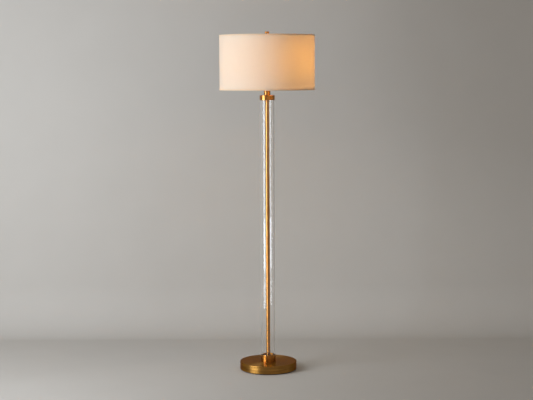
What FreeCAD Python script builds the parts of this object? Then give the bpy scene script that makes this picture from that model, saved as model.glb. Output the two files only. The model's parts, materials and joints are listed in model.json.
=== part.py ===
"""Column floor lamp: a weighted disc base, a clear glass column clamped round a brass rod between
two turned cups, and a linen drum shade that hangs from a harp over the bulb.

Millimetres, +Z up. The origin is the middle of the base's underside, on the floor. The harp's legs
stand at -X and +X, the switch knob points to the front (-Y) and the cord leaves at the back (+Y).
"""

import FreeCAD, Part
import math
import os
import Sketcher

# ----------------------------------------------------------------------------------------------
# Driving sizes
# ----------------------------------------------------------------------------------------------
SIZES = {
    # fits shared by several pieces
    "hole_gap": 0.25,  # round a pipe or screw in the hole that it passes through
    "turning_gap": 0.2,  # between two seats that turn on each other
    "running_gap": 0.05,  # round a shaft in its bearing
    "glue_line": 0.1,  # between the layers of the shade
    # base
    "base_diameter": 260,
    "base_height": 36,
    "cover_wall": 1.5,
    "cover_edge_radius": 2.5,
    "cover_lip_width": 3,
    "pad_thickness": 4,
    "pad_inset": 7,
    "weight_thickness": 16,
    "weight_gap": 1,
    "weight_hub_diameter": 90,
    "weight_draft_width": 8,
    "recess_diameter": 36,
    "recess_depth": 12.5,
    "channel_width": 12,
    # cord bushing in the back of the base
    "cord_hole_height": 11,
    "bushing_bore": 7.6,
    "bushing_diameter": 9.4,
    "bushing_flange_diameter": 13,
    "bushing_flange_thickness": 2,
    "bushing_length": 12,
    # threaded pipe with its nuts and washer
    "pipe_diameter": 9.9,
    "pipe_bore": 7.6,
    "pipe_tail": 2.5,
    "nut_width": 15,
    "nut_height": 4,
    "nut_corner_chamfer": 0.8,
    "washer_diameter": 28,
    "washer_thickness": 1.5,
    # glass column and the two cups that hold it
    "glass_diameter": 65,
    "glass_wall": 4.5,
    "glass_length": 1199,
    "glass_edge_chamfer": 0.6,
    "glass_gap": 0.4,
    "gasket_thickness": 2,
    "gasket_width": 5,
    "collar_diameter": 69,
    "collar_height": 30,
    "collar_floor_thickness": 12,
    "cap_cup_depth": 14,
    "cap_roof_thickness": 8,
    "cup_edge_chamfer": 0.5,
    "rod_diameter": 18,
    "rod_wall": 1,
    "spigot_height": 6,
    # neck and harp saddle
    "neck_diameter": 30,
    "neck_height": 24,
    "neck_chamfer": 0.8,
    "saddle_thickness": 1.6,
    "saddle_width": 14,
    "saddle_bend_radius": 4,
    "saddle_height": 16,
    "tab_width": 5.6,
    # harp, its feet, ferrules and stud
    "harp_height": 226,
    "harp_wire_diameter": 3.6,
    "harp_foot_offset": 28,
    "harp_splay_degrees": 12,
    "harp_lower_bend_radius": 60,
    "harp_arch_radius": 48,
    "harp_straight_height": 22,
    "foot_thickness": 1.6,
    "foot_width": 6,
    "foot_length": 11.5,
    "foot_overlap": 1.7,
    "foot_gap": 0.3,
    "platform_diameter": 14,
    "platform_thickness": 2.4,
    "ferrule_bore": 8.2,
    "ferrule_wall": 0.8,
    "ferrule_body_height": 12,
    "ferrule_neck_height": 2,
    "ferrule_lip": 0.5,
    "stud_flange_diameter": 13,
    "stud_flange_thickness": 2,
    "stud_hub_diameter": 10.4,
    "stud_hub_height": 1.6,
    "stud_diameter": 6.2,
    "stud_length": 13.5,
    "rivet_diameter": 5,
    "rivet_head_diameter": 8,
    "rivet_head_height": 1.2,
    # finial
    "finial_height": 34.6,
    "finial_head_diameter": 20,
    "finial_head_height": 18,
    "finial_edge_radius": 1.5,
    "finial_flange_diameter": 16,
    "finial_flange_thickness": 2,
    "finial_neck_diameter": 10,
    "finial_cove_radius": 7,
    "finial_bore_depth": 14.5,
    # lampholder
    "socket_hub_diameter": 15,
    "socket_hub_height": 7,
    "socket_cap_diameter": 34.8,
    "socket_cap_wall": 0.8,
    "socket_cap_height": 20,
    "socket_cap_bowl_start": 3,
    "socket_cap_bowl_end": 12,
    "socket_cap_bowl_radius": 11,
    "shell_diameter": 33,
    "shell_wall": 0.5,
    "shell_engagement": 6,
    "shell_height": 48,
    "shell_lip": 1,
    "liner_wall": 0.6,
    "liner_shortfall": 2,
    "liner_gap": 0.2,
    "body_diameter": 30,
    "body_foot_diameter": 20,
    "body_foot_height": 6,
    "body_height": 28,
    "terminal_pocket_depth": 2.5,
    "terminal_pocket_width": 9,
    "terminal_height": 9,
    "screw_head_diameter": 6,
    "screw_head_height": 1.8,
    "screw_shank_diameter": 3,
    "screw_shank_length": 5,
    "thread_shell_diameter": 27.8,
    "thread_shell_wall": 0.4,
    "thread_shell_height": 24,
    "thread_shell_hole": 14,
    "contact_width": 5,
    "contact_thickness": 0.5,
    "contact_rise": 2.6,
    "contact_reach": 5,
    # switch
    "switch_height": 22,
    "switch_shaft_diameter": 4.5,
    "switch_shaft_depth": 11,
    "switch_knob_diameter": 13,
    "switch_knob_length": 16,
    "switch_knob_stand_off": 2.5,
    "switch_knob_wall": 2,
    "switch_knob_taper": 0.8,
    "switch_knob_edge_radius": 0.8,
    "switch_knob_collar": 3,
    "switch_flute_offset": 0.7,
    "switch_flute_diameter": 3,
    "switch_flute_count": 8,
    # bulb
    "bulb_cap_diameter": 26.2,
    "bulb_cap_wall": 0.5,
    "bulb_cap_height": 23,
    "bulb_contact_diameter": 18,
    "bulb_contact_height": 3,
    "bulb_button_diameter": 5,
    "bulb_button_height": 0.8,
    "bulb_housing_height": 29,
    "bulb_housing_wall": 1.2,
    "bulb_housing_rim_diameter": 47.2,
    "bulb_housing_curve_radius": 60,
    "bulb_globe_diameter": 60,
    "bulb_globe_wall": 1.2,
    "led_board_diameter": 42,
    "led_board_thickness": 1.2,
    # shade
    "shade_diameter": 432,
    "shade_height": 248,
    "spider_drop": 21.5,
    "fabric_thickness": 0.5,
    "liner_thickness": 0.6,
    "trim_thickness": 0.5,
    "trim_height": 7,
    "trim_return_height": 5,
    "ring_wire_diameter": 3,
    "spider_washer_diameter": 28,
    "spider_washer_thickness": 2,
    "spider_bend_radius": 16,
    "spider_rise_degrees": 50,
    "spider_arm_count": 3,
    "trim_notch_width": 6,
}

# Levels and radii that follow from the driving sizes. Each one may use those above it.
DERIVED = {
    "pipe_hole_radius": "sizes.pipe_diameter / 2 + sizes.hole_gap",
    # base, from the floor up
    "base_radius": "sizes.base_diameter / 2",
    "cover_bottom": "sizes.pad_thickness",
    "cover_top": "cover_bottom + sizes.base_height",
    "cover_roof": "cover_top - sizes.cover_wall",
    "weight_radius": "base_radius - sizes.cover_lip_width - sizes.weight_gap",
    "weight_top": "cover_bottom + sizes.weight_thickness",
    "weight_hub_radius": "sizes.weight_hub_diameter / 2",
    "recess_roof": "cover_bottom + sizes.recess_depth",
    "lower_nut_top": "recess_roof - sizes.washer_thickness",
    "lower_nut_bottom": "lower_nut_top - sizes.nut_height",
    "pipe_bottom": "lower_nut_bottom - sizes.pipe_tail",
    "cord_hole_radius": "sizes.bushing_diameter / 2 + sizes.hole_gap / 2",
    # glass column
    "glass_radius": "sizes.glass_diameter / 2",
    "glass_bore_radius": "glass_radius - sizes.glass_wall",
    "cup_radius": "glass_radius + sizes.glass_gap",
    "collar_radius": "sizes.collar_diameter / 2",
    "collar_top": "cover_top + sizes.collar_height",
    "collar_floor": "cover_top + sizes.collar_floor_thickness",
    "glass_bottom": "collar_floor + sizes.gasket_thickness",
    "glass_top": "glass_bottom + sizes.glass_length",
    "cap_ceiling": "glass_top + sizes.gasket_thickness",
    "cap_bottom": "cap_ceiling - sizes.cap_cup_depth",
    "cap_top": "cap_ceiling + sizes.cap_roof_thickness",
    "rod_radius": "sizes.rod_diameter / 2",
    "spigot_radius": "rod_radius - sizes.rod_wall - sizes.running_gap",
    # neck, saddle and harp feet
    "neck_top": "cap_top + sizes.neck_height",
    "saddle_top": "neck_top + sizes.saddle_thickness",
    "tab_outside": "sizes.harp_foot_offset - sizes.foot_gap / 2",
    "tab_inside": "tab_outside - sizes.saddle_thickness",
    "tab_top": "neck_top + sizes.saddle_height",
    "foot_inside": "sizes.harp_foot_offset + sizes.foot_gap / 2",
    "wire_bottom": "tab_top + sizes.turning_gap",
    "foot_top": "wire_bottom + sizes.foot_overlap",
    "foot_bottom": "foot_top - sizes.foot_length",
    "ferrule_ceiling": "foot_top + sizes.turning_gap",
    "ferrule_bottom": "ferrule_ceiling - sizes.ferrule_body_height",
    "tab_shoulder": "ferrule_bottom - sizes.turning_gap",
    # harp: a straight leg, a gentle bend outwards, a straight run and the arch over the bulb
    "wire_radius": "sizes.harp_wire_diameter / 2",
    "seat": "neck_top + sizes.harp_height",
    "platform_top": "seat - sizes.stud_flange_thickness",
    "arch_crown": "platform_top - wire_radius",
    "bend_start": "wire_bottom + sizes.harp_straight_height",
    "bend_end_out": "sizes.harp_foot_offset"
    " + sizes.harp_lower_bend_radius * (1 - cos(sizes.harp_splay_degrees * 1deg))",
    "bend_end": "bend_start"
    " + sizes.harp_lower_bend_radius * sin(sizes.harp_splay_degrees * 1deg)",
    "arch_centre": "arch_crown - sizes.harp_arch_radius",
    "arch_start": "arch_centre"
    " - sizes.harp_arch_radius * sin(sizes.harp_splay_degrees * 1deg)",
    "arch_start_out": "bend_end_out"
    " + (arch_start - bend_end) * tan(sizes.harp_splay_degrees * 1deg)",
    "arch_flat": "arch_start_out"
    " - sizes.harp_arch_radius * cos(sizes.harp_splay_degrees * 1deg)",
    # lampholder, from the upper nut up
    "socket_bottom": "saddle_top + sizes.nut_height",
    "socket_hub_top": "socket_bottom + sizes.socket_hub_height",
    "socket_cap_top": "socket_bottom + sizes.socket_cap_height",
    "socket_cap_radius": "sizes.socket_cap_diameter / 2",
    "shell_radius": "sizes.shell_diameter / 2",
    "shell_bottom": "socket_cap_top - sizes.shell_engagement",
    "shell_top": "shell_bottom + sizes.shell_height",
    "liner_radius": "shell_radius - sizes.shell_wall - sizes.liner_gap / 2",
    "liner_bottom": "shell_bottom",
    "liner_top": "shell_top - sizes.shell_wall - sizes.liner_shortfall",
    "body_radius": "sizes.body_diameter / 2",
    "body_bottom": "socket_hub_top",
    "body_shoulder": "body_bottom + sizes.body_foot_height",
    "body_top": "body_bottom + sizes.body_height",
    "terminal_level": "body_shoulder + sizes.terminal_height / 2",
    "terminal_face": "body_radius - sizes.terminal_pocket_depth",
    "switch_level": "body_bottom + sizes.switch_height",
    "switch_hole_radius": "sizes.switch_shaft_diameter / 2 + sizes.running_gap",
    "knob_start": "shell_radius + sizes.switch_knob_stand_off",
    "knob_end": "knob_start + sizes.switch_knob_length",
    "shaft_end": "knob_end - sizes.switch_knob_wall",
    "shaft_start": "body_radius - sizes.switch_shaft_depth",
    "contact_top": "body_top + sizes.contact_rise",
    # bulb, screwed down to the centre contact
    "bulb_bottom": "contact_top + sizes.turning_gap",
    "bulb_cap_bottom": "bulb_bottom + sizes.bulb_contact_height",
    "bulb_cap_top": "bulb_cap_bottom + sizes.bulb_cap_height",
    "bulb_cap_radius": "sizes.bulb_cap_diameter / 2",
    "bulb_rim_level": "bulb_cap_top + sizes.bulb_housing_height",
    "bulb_rim_radius": "sizes.bulb_housing_rim_diameter / 2",
    "globe_radius": "sizes.bulb_globe_diameter / 2",
    "globe_inner_radius": "globe_radius - sizes.bulb_globe_wall",
    "globe_centre": "bulb_rim_level + sqrt(globe_radius ^ 2 - bulb_rim_radius ^ 2)",
    "globe_inner_rim": "sqrt(globe_inner_radius ^ 2 - (globe_centre - bulb_rim_level) ^ 2)",
    # spider, finial and shade
    "washer_bottom": "seat + sizes.turning_gap",
    "washer_top": "washer_bottom + sizes.spider_washer_thickness",
    "washer_middle": "washer_bottom + sizes.spider_washer_thickness / 2",
    "finial_bottom": "washer_top + sizes.turning_gap",
    "finial_top": "finial_bottom + sizes.finial_height",
    "shade_top": "seat + sizes.spider_drop",
    "shade_bottom": "shade_top - sizes.shade_height",
    "shade_radius": "sizes.shade_diameter / 2",
    "fabric_radius": "shade_radius - sizes.trim_thickness - sizes.glue_line",
    "liner_outside": "fabric_radius - sizes.fabric_thickness - sizes.glue_line",
    "liner_inside": "liner_outside - sizes.liner_thickness",
    "ring_wire_radius": "sizes.ring_wire_diameter / 2",
    "ring_radius": "liner_inside - sizes.glue_line - ring_wire_radius",
    "trim_return_radius": "ring_radius - ring_wire_radius - sizes.glue_line",
    "drum_top": "shade_top - sizes.trim_thickness - sizes.glue_line",
    "drum_bottom": "shade_bottom + sizes.trim_thickness + sizes.glue_line",
    "top_ring_level": "drum_top - ring_wire_radius",
    "bottom_ring_level": "drum_bottom + ring_wire_radius",
    # spider arm: out from the washer, then a bend up to the ring
    "arm_rise": "top_ring_level - washer_middle",
    "arm_slope_run": "(arm_rise - sizes.spider_bend_radius"
    " * (1 - cos(sizes.spider_rise_degrees * 1deg))) / tan(sizes.spider_rise_degrees * 1deg)",
    "arm_bend_run": "sizes.spider_bend_radius * sin(sizes.spider_rise_degrees * 1deg)",
    "arm_bend_start": "ring_radius - arm_slope_run - arm_bend_run",
    "arm_bend_end": "ring_radius - arm_slope_run",
    "arm_bend_top": "washer_middle"
    " + sizes.spider_bend_radius * (1 - cos(sizes.spider_rise_degrees * 1deg))",
}

LEFT, RIGHT = 1, -1  # the side of an arc's chord on which its centre lies
PARTS_FOLDER = "parts"

document = FreeCAD.newDocument("column_floor_lamp")


# ----------------------------------------------------------------------------------------------
# Spreadsheets
# ----------------------------------------------------------------------------------------------
def make_sizes_sheet():
    """The driving sizes, one row each: the name in column A and the plain number in column B."""
    sheet = document.addObject("Spreadsheet::Sheet", "sizes")
    for row, (name, number) in enumerate(SIZES.items(), start=1):
        sheet.set(f"A{row}", name)
        sheet.set(f"B{row}", str(number))
        sheet.setAlias(f"B{row}", name)
    document.recompute()
    return sheet


def make_places_sheet():
    """The levels and radii worked out from the driving sizes."""
    sheet = document.addObject("Spreadsheet::Sheet", "places")
    for row, (name, formula) in enumerate(DERIVED.items(), start=1):
        sheet.set(f"A{row}", name)
        sheet.set(f"B{row}", "=" + formula)
        sheet.setAlias(f"B{row}", name)
        document.recompute()
    return sheet


sizes = make_sizes_sheet()
places = make_places_sheet()


def number(formula):
    """What a formula over the two sheets comes to, as a plain number."""
    found = places.evalExpression(formula)
    return float(getattr(found, "Value", found))


# ----------------------------------------------------------------------------------------------
# Sketches
# ----------------------------------------------------------------------------------------------
def new_body(label):
    """An empty body whose label names the piece."""
    body = document.addObject("PartDesign::Body", label)
    body.Label = label
    body.Placement = FreeCAD.Placement()
    return body


def new_sketch(body, plane, level=None):
    """A sketch on one of the body's own origin planes, raised along its normal by a formula."""
    sketch = body.newObject("Sketcher::SketchObject", body.Label + "_sketch")
    plane = next(item for item in body.Origin.OriginFeatures if item.Role == plane)
    sketch.AttachmentSupport = [(plane, "")]
    sketch.MapMode = "FlatFace"
    if level:
        sketch.setExpression(".AttachmentOffset.Base.z", level)
    return sketch


def pin_point(sketch, geometry, end, across, up):
    """Ties one end of a sketch line or arc to its two formulas."""
    for kind, formula in (("DistanceX", across), ("DistanceY", up)):
        rule = Sketcher.Constraint(kind, -1, 1, geometry, end, number(formula))
        sketch.setExpression(f"Constraints[{sketch.addConstraint(rule)}]", formula)


def pin_radius(sketch, geometry, formula):
    """Ties the radius of a sketch arc or circle to a formula."""
    rule = Sketcher.Constraint("Radius", geometry, number(formula))
    sketch.setExpression(f"Constraints[{sketch.addConstraint(rule)}]", formula)


def arc_between(start, finish, radius, side):
    """The arc of under a half turn between two points, with its centre on that side of the chord."""
    chord = finish - start
    half = chord.Length / 2
    reach = math.sqrt(max(radius * radius - half * half, 0))
    square = FreeCAD.Vector(-chord.y, chord.x, 0).normalize()
    centre = start + chord * 0.5 + square * (reach * side)
    first, last = (start, finish) if side == LEFT else (finish, start)
    angles = [math.atan2(p.y - centre.y, p.x - centre.x) for p in (first, last)]
    circle = Part.Circle(centre, FreeCAD.Vector(0, 0, 1), radius)
    return Part.ArcOfCircle(circle, angles[0], angles[1])


def draw(sketch, corners, closed=True):
    """Draws an outline through corners. A corner is (across, up), or (across, up, radius, side)
    where an arc leads to it. A closed outline's last side runs straight back to the first corner."""
    points = [FreeCAD.Vector(number(c[0]), number(c[1]), 0) for c in corners]
    steps = list(range(1, len(corners))) + ([0] if closed else [])
    ends = []
    for position, index in enumerate(steps):
        corner = corners[index]
        start, finish = points[position], points[index]
        if len(corner) == 4 and index:
            arc = arc_between(start, finish, number(corner[2]), corner[3])
            geometry = sketch.addGeometry(arc, False)
            ends.append((geometry, 1, 2) if corner[3] == LEFT else (geometry, 2, 1))
        else:
            geometry = sketch.addGeometry(Part.LineSegment(start, finish), False)
            ends.append((geometry, 1, 2))
    for before, after in zip(ends, ends[1:] + (ends[:1] if closed else [])):
        sketch.addConstraint(Sketcher.Constraint("Coincident", before[0], before[2], after[0], after[1]))
    for corner, (geometry, first, last) in zip(corners, ends):
        pin_point(sketch, geometry, first, corner[0], corner[1])
    if not closed:
        geometry, first, last = ends[-1]
        pin_point(sketch, geometry, last, corners[-1][0], corners[-1][1])
    for position, index in enumerate(steps):
        if len(corners[index]) == 4 and index:
            pin_radius(sketch, ends[position][0], corners[index][2])
    return sketch


def rectangle(left, right, low, high):
    """The four corners of a rectangle, each side given by a formula."""
    return [(left, low), (right, low), (right, high), (left, high)]


def draw_circle(sketch, across, up, radius):
    """A circle whose centre and radius are formulas."""
    centre = FreeCAD.Vector(number(across), number(up), 0)
    circle = Part.Circle(centre, FreeCAD.Vector(0, 0, 1), number(radius))
    geometry = sketch.addGeometry(circle, False)
    pin_point(sketch, geometry, 3, across, up)
    pin_radius(sketch, geometry, radius)
    return sketch


# ----------------------------------------------------------------------------------------------
# Features
# ----------------------------------------------------------------------------------------------
def revolve(body, corners):
    """Turns a closed outline, given as (radius, height), about the Z axis."""
    sketch = draw(new_sketch(body, "XZ_Plane"), corners)
    turned = body.newObject("PartDesign::Revolution", body.Label + "_turned")
    turned.Profile = (sketch, [""])
    turned.ReferenceAxis = (sketch, ["V_Axis"])
    turned.Angle = 360
    sketch.Visibility = False
    document.recompute()
    return turned


def turned_piece(label, corners):
    """A piece made by one revolution."""
    body = new_body(label)
    revolve(body, corners)
    return body


def pad(body, sketch, length, both_ways=False, reverse=False):
    """Raises a sketch into a solid of a length given by a formula."""
    raised = body.newObject("PartDesign::Pad", body.Label + "_pad")
    raised.Profile = sketch
    raised.SideType = "Symmetric" if both_ways else "One side"
    raised.Reversed = reverse
    raised.setExpression("Length", length)
    document.recompute()
    return raised


def pocket(body, sketch, length, both_ways=False, reverse=False):
    """Cuts a sketch into the body. The cut has to take something away."""
    before = body.Shape.Volume
    cut = body.newObject("PartDesign::Pocket", body.Label + "_pocket")
    cut.Profile = sketch
    cut.SideType = "Symmetric" if both_ways else "One side"
    cut.Reversed = reverse
    cut.setExpression("Length", length)
    document.recompute()
    if body.Shape.Volume > before - 1e-3:
        raise ValueError(f"a pocket in {body.Label} cuts nothing")
    return cut


def sweep(body, section, path):
    """Carries a closed section along an open path."""
    carried = body.newObject("PartDesign::AdditivePipe", body.Label + "_sweep")
    carried.Profile = (section, [""])
    carried.Spine = (path, [f"Edge{index + 1}" for index in range(path.GeometryCount)])
    document.recompute()
    return carried


def polar_pattern(body, feature, count):
    """Repeats a feature evenly round the Z axis."""
    pattern = body.newObject("PartDesign::PolarPattern", body.Label + "_pattern")
    pattern.Originals = [feature]
    axis = next(item for item in body.Origin.OriginFeatures if item.Role == "Z_Axis")
    pattern.Axis = (axis, [""])
    pattern.Angle = 360
    pattern.setExpression("Occurrences", count)
    body.Tip = pattern
    document.recompute()
    return pattern


def mirror(body, features, plane):
    """Repeats features on the other side of one of the body's origin planes."""
    mirrored = body.newObject("PartDesign::Mirrored", body.Label + "_mirrored")
    mirrored.Originals = features
    plane = next(item for item in body.Origin.OriginFeatures if item.Role == plane)
    mirrored.MirrorPlane = (plane, [""])
    body.Tip = mirrored
    document.recompute()
    return mirrored


def edges_at(shape, radius, height):
    """Names of the round edges of that radius about the Z axis at that height."""
    names = []
    for index, edge in enumerate(shape.Edges, start=1):
        curve = edge.Curve
        if curve.TypeId != "Part::GeomCircle" or abs(curve.Radius - radius) > 1e-3:
            continue
        centre = curve.Center
        if math.hypot(centre.x, centre.y) < 1e-3 and abs(centre.z - height) < 1e-3:
            names.append(f"Edge{index}")
    return names


def ease_edges(body, kind, size, rims):
    """Fillets or chamfers the round edges at the given (radius, height) formulas."""
    base = body.Tip
    found = []
    for radius, height in rims:
        names = edges_at(base.Shape, number(radius), number(height))
        if not names:
            raise ValueError(f"{body.Label} has no edge at radius {radius}, height {height}")
        found += names
    eased = body.newObject(f"PartDesign::{kind}", f"{body.Label}_{kind.lower()}")
    eased.Base = (base, found)
    eased.setExpression("Radius" if kind == "Fillet" else "Size", size)
    document.recompute()
    return eased


def stand_along_y(body, direction, level):
    """Lays a piece drawn about its own Z axis along Y, outwards at the back (+1) or front (-1)."""
    turn = FreeCAD.Rotation(FreeCAD.Vector(1, 0, 0), -90 * direction)
    body.Placement = FreeCAD.Placement(FreeCAD.Vector(0, 0, number(level)), turn)
    body.setExpression(".Placement.Base.z", level)


def ring(label, inner, outer, low, high):
    """A plain ring of rectangular section."""
    return turned_piece(label, rectangle(inner, outer, low, high))


# ----------------------------------------------------------------------------------------------
# Base
# ----------------------------------------------------------------------------------------------
def make_base_pad():
    """Felt pad under the weight: the face that the lamp stands on."""
    piece = document.addObject("Part::Cylinder", "base_pad")
    piece.setExpression("Radius", "places.base_radius - sizes.pad_inset")
    piece.setExpression("Height", "sizes.pad_thickness")
    return piece


def make_base_cover():
    """Spun brass cover, open below, with its edge curled in and a hole for the cord bushing."""
    body = new_body("base_cover")
    wall_inside = "places.base_radius - sizes.cover_wall"
    lip_inside = "places.base_radius - sizes.cover_lip_width"
    lip_top = "places.cover_bottom + sizes.cover_wall"
    revolve(body, [
        ("places.pipe_hole_radius", "places.cover_roof"),
        (wall_inside, "places.cover_roof"),
        (wall_inside, lip_top),
        (lip_inside, lip_top),
        (lip_inside, "places.cover_bottom"),
        ("places.base_radius", "places.cover_bottom"),
        ("places.base_radius", "places.cover_top"),
        ("places.pipe_hole_radius", "places.cover_top"),
    ])
    ease_edges(body, "Fillet", "sizes.cover_edge_radius", [("places.base_radius", "places.cover_top")])
    ease_edges(
        body, "Fillet", "sizes.cover_edge_radius / 2",
        [(wall_inside, "places.cover_roof"), ("places.base_radius", "places.cover_bottom")],
    )
    hole = draw_circle(new_sketch(body, "XZ_Plane"), "0", "sizes.cord_hole_height",
                       "places.cord_hole_radius")
    pocket(body, hole, "sizes.base_diameter")
    return body


def make_base_weight():
    """Cast-iron weight: a disc with a tapered hub up to the cover, a recess for the nut below and
    a channel that takes the cord from there to the back."""
    body = new_body("base_weight")
    hub_foot = "places.weight_hub_radius + sizes.weight_draft_width"
    revolve(body, [
        ("places.pipe_hole_radius", "places.recess_roof"),
        ("sizes.recess_diameter / 2", "places.recess_roof"),
        ("sizes.recess_diameter / 2", "places.cover_bottom"),
        ("places.weight_radius", "places.cover_bottom"),
        ("places.weight_radius", "places.weight_top"),
        (hub_foot, "places.weight_top"),
        ("places.weight_hub_radius", "places.cover_roof"),
        ("places.pipe_hole_radius", "places.cover_roof"),
    ])
    half = "sizes.channel_width / 2"
    channel = draw(new_sketch(body, "XZ_Plane"), [
        (f"-{half}", "places.cover_bottom"),
        (half, "places.cover_bottom"),
        (half, "places.recess_roof"),
        (f"-{half}", "places.recess_roof"),
    ])
    pocket(body, channel, "sizes.base_diameter")
    return body


def make_cord_bushing():
    """Snap-in bushing through which the cord leaves the base: flange outside, barb inside."""
    bore = "sizes.bushing_bore / 2"
    outside = "places.base_radius"
    stem = "sizes.bushing_diameter / 2"
    barb = "places.cord_hole_radius + sizes.hole_gap"
    wall_inside = "places.base_radius - sizes.cover_wall - sizes.hole_gap"
    inner_end = "places.base_radius + sizes.bushing_flange_thickness - sizes.bushing_length"
    body = turned_piece("cord_bushing", [
        (bore, inner_end),
        (stem, inner_end),
        (stem, f"{wall_inside} - sizes.cover_wall * 2"),
        (barb, f"{wall_inside} - sizes.cover_wall"),
        (barb, wall_inside),
        (stem, wall_inside),
        (stem, outside),
        ("sizes.bushing_flange_diameter / 2", outside),
        ("sizes.bushing_flange_diameter / 2", "places.base_radius + sizes.bushing_flange_thickness"),
        (bore, "places.base_radius + sizes.bushing_flange_thickness"),
    ])
    stand_along_y(body, 1, "sizes.cord_hole_height")
    return body


def make_locknut(label, bottom):
    """Hexagon nut with its corners taken off, for the threaded pipe."""
    body = new_body(label)
    sketch = new_sketch(body, "XY_Plane", bottom)
    corner = "sizes.nut_width / 2 / cos(30deg)"
    draw(sketch, [(f"{corner} * cos({turn}deg)", f"{corner} * sin({turn}deg)")
                  for turn in range(0, 360, 60)])
    draw_circle(sketch, "0", "0", "places.pipe_hole_radius")
    pad(body, sketch, "sizes.nut_height")
    top = f"{bottom} + sizes.nut_height"
    side = f"{corner} - sizes.nut_corner_chamfer"
    outside = f"{corner} + sizes.nut_corner_chamfer"
    for face, step in ((bottom, "+"), (top, "-")):
        corners = [
            (side, face),
            (outside, face),
            (outside, f"{face} {step} sizes.nut_corner_chamfer * 1.2"),
        ]
        sketch = draw(new_sketch(body, "XZ_Plane"), corners)
        groove = body.newObject("PartDesign::Groove", label + "_groove")
        groove.Profile = (sketch, [""])
        groove.ReferenceAxis = (sketch, ["V_Axis"])
        groove.Angle = 360
    document.recompute()
    return body


def make_pipe_washer():
    """Steel washer between the lower nut and the weight."""
    return ring("pipe_washer", "places.pipe_hole_radius", "sizes.washer_diameter / 2",
                "places.lower_nut_top", "places.recess_roof")


def make_lamp_pipe():
    """Threaded steel pipe from under the weight to the lampholder: it clamps the whole column."""
    return ring("lamp_pipe", "sizes.pipe_bore / 2", "sizes.pipe_diameter / 2",
                "places.pipe_bottom", "places.socket_hub_top")


# ----------------------------------------------------------------------------------------------
# Column
# ----------------------------------------------------------------------------------------------
def make_lower_collar():
    """Turned brass cup on the base: the glass stands in it and the rod sits over its spigot."""
    spigot_top = "places.collar_floor + sizes.spigot_height"
    body = turned_piece("lower_collar", [
        ("places.pipe_hole_radius", "places.cover_top"),
        ("places.collar_radius", "places.cover_top"),
        ("places.collar_radius", "places.collar_top"),
        ("places.cup_radius", "places.collar_top"),
        ("places.cup_radius", "places.collar_floor"),
        ("places.spigot_radius", "places.collar_floor"),
        ("places.spigot_radius", spigot_top),
        ("places.pipe_hole_radius", spigot_top),
    ])
    ease_edges(body, "Chamfer", "sizes.cup_edge_chamfer", [
        ("places.collar_radius", "places.collar_top"),
        ("places.collar_radius", "places.cover_top"),
    ])
    return body


def make_upper_cap():
    """Turned brass cap over the glass: the lower collar's partner, open downwards."""
    spigot_end = "places.cap_ceiling - sizes.spigot_height"
    body = turned_piece("upper_cap", [
        ("places.pipe_hole_radius", spigot_end),
        ("places.spigot_radius", spigot_end),
        ("places.spigot_radius", "places.cap_ceiling"),
        ("places.cup_radius", "places.cap_ceiling"),
        ("places.cup_radius", "places.cap_bottom"),
        ("places.collar_radius", "places.cap_bottom"),
        ("places.collar_radius", "places.cap_top"),
        ("places.pipe_hole_radius", "places.cap_top"),
    ])
    ease_edges(body, "Chamfer", "sizes.cup_edge_chamfer", [
        ("places.collar_radius", "places.cap_top"),
        ("places.collar_radius", "places.cap_bottom"),
    ])
    return body


def make_gasket(label, low, high):
    """Clear silicone ring between an end of the glass and its cup."""
    return ring(label, "places.glass_radius - sizes.gasket_width", "places.glass_radius", low, high)


def make_glass_column():
    """Clear glass tube with its four end edges ground."""
    body = ring("glass_column", "places.glass_bore_radius", "places.glass_radius",
                "places.glass_bottom", "places.glass_top")
    ease_edges(body, "Chamfer", "sizes.glass_edge_chamfer", [
        (radius, level)
        for radius in ("places.glass_radius", "places.glass_bore_radius")
        for level in ("places.glass_bottom", "places.glass_top")
    ])
    return body


def make_centre_rod():
    """Brass tube over the pipe, in sight inside the glass. It carries the clamping force."""
    return ring("centre_rod", "places.rod_radius - sizes.rod_wall", "places.rod_radius",
                "places.collar_floor", "places.cap_ceiling")


def make_neck():
    """Turned brass spacer between the cap and the harp saddle."""
    body = ring("neck", "places.pipe_hole_radius", "sizes.neck_diameter / 2",
                "places.cap_top", "places.neck_top")
    ease_edges(body, "Chamfer", "sizes.neck_chamfer", [
        ("sizes.neck_diameter / 2", "places.cap_top"),
        ("sizes.neck_diameter / 2", "places.neck_top"),
    ])
    return body


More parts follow.
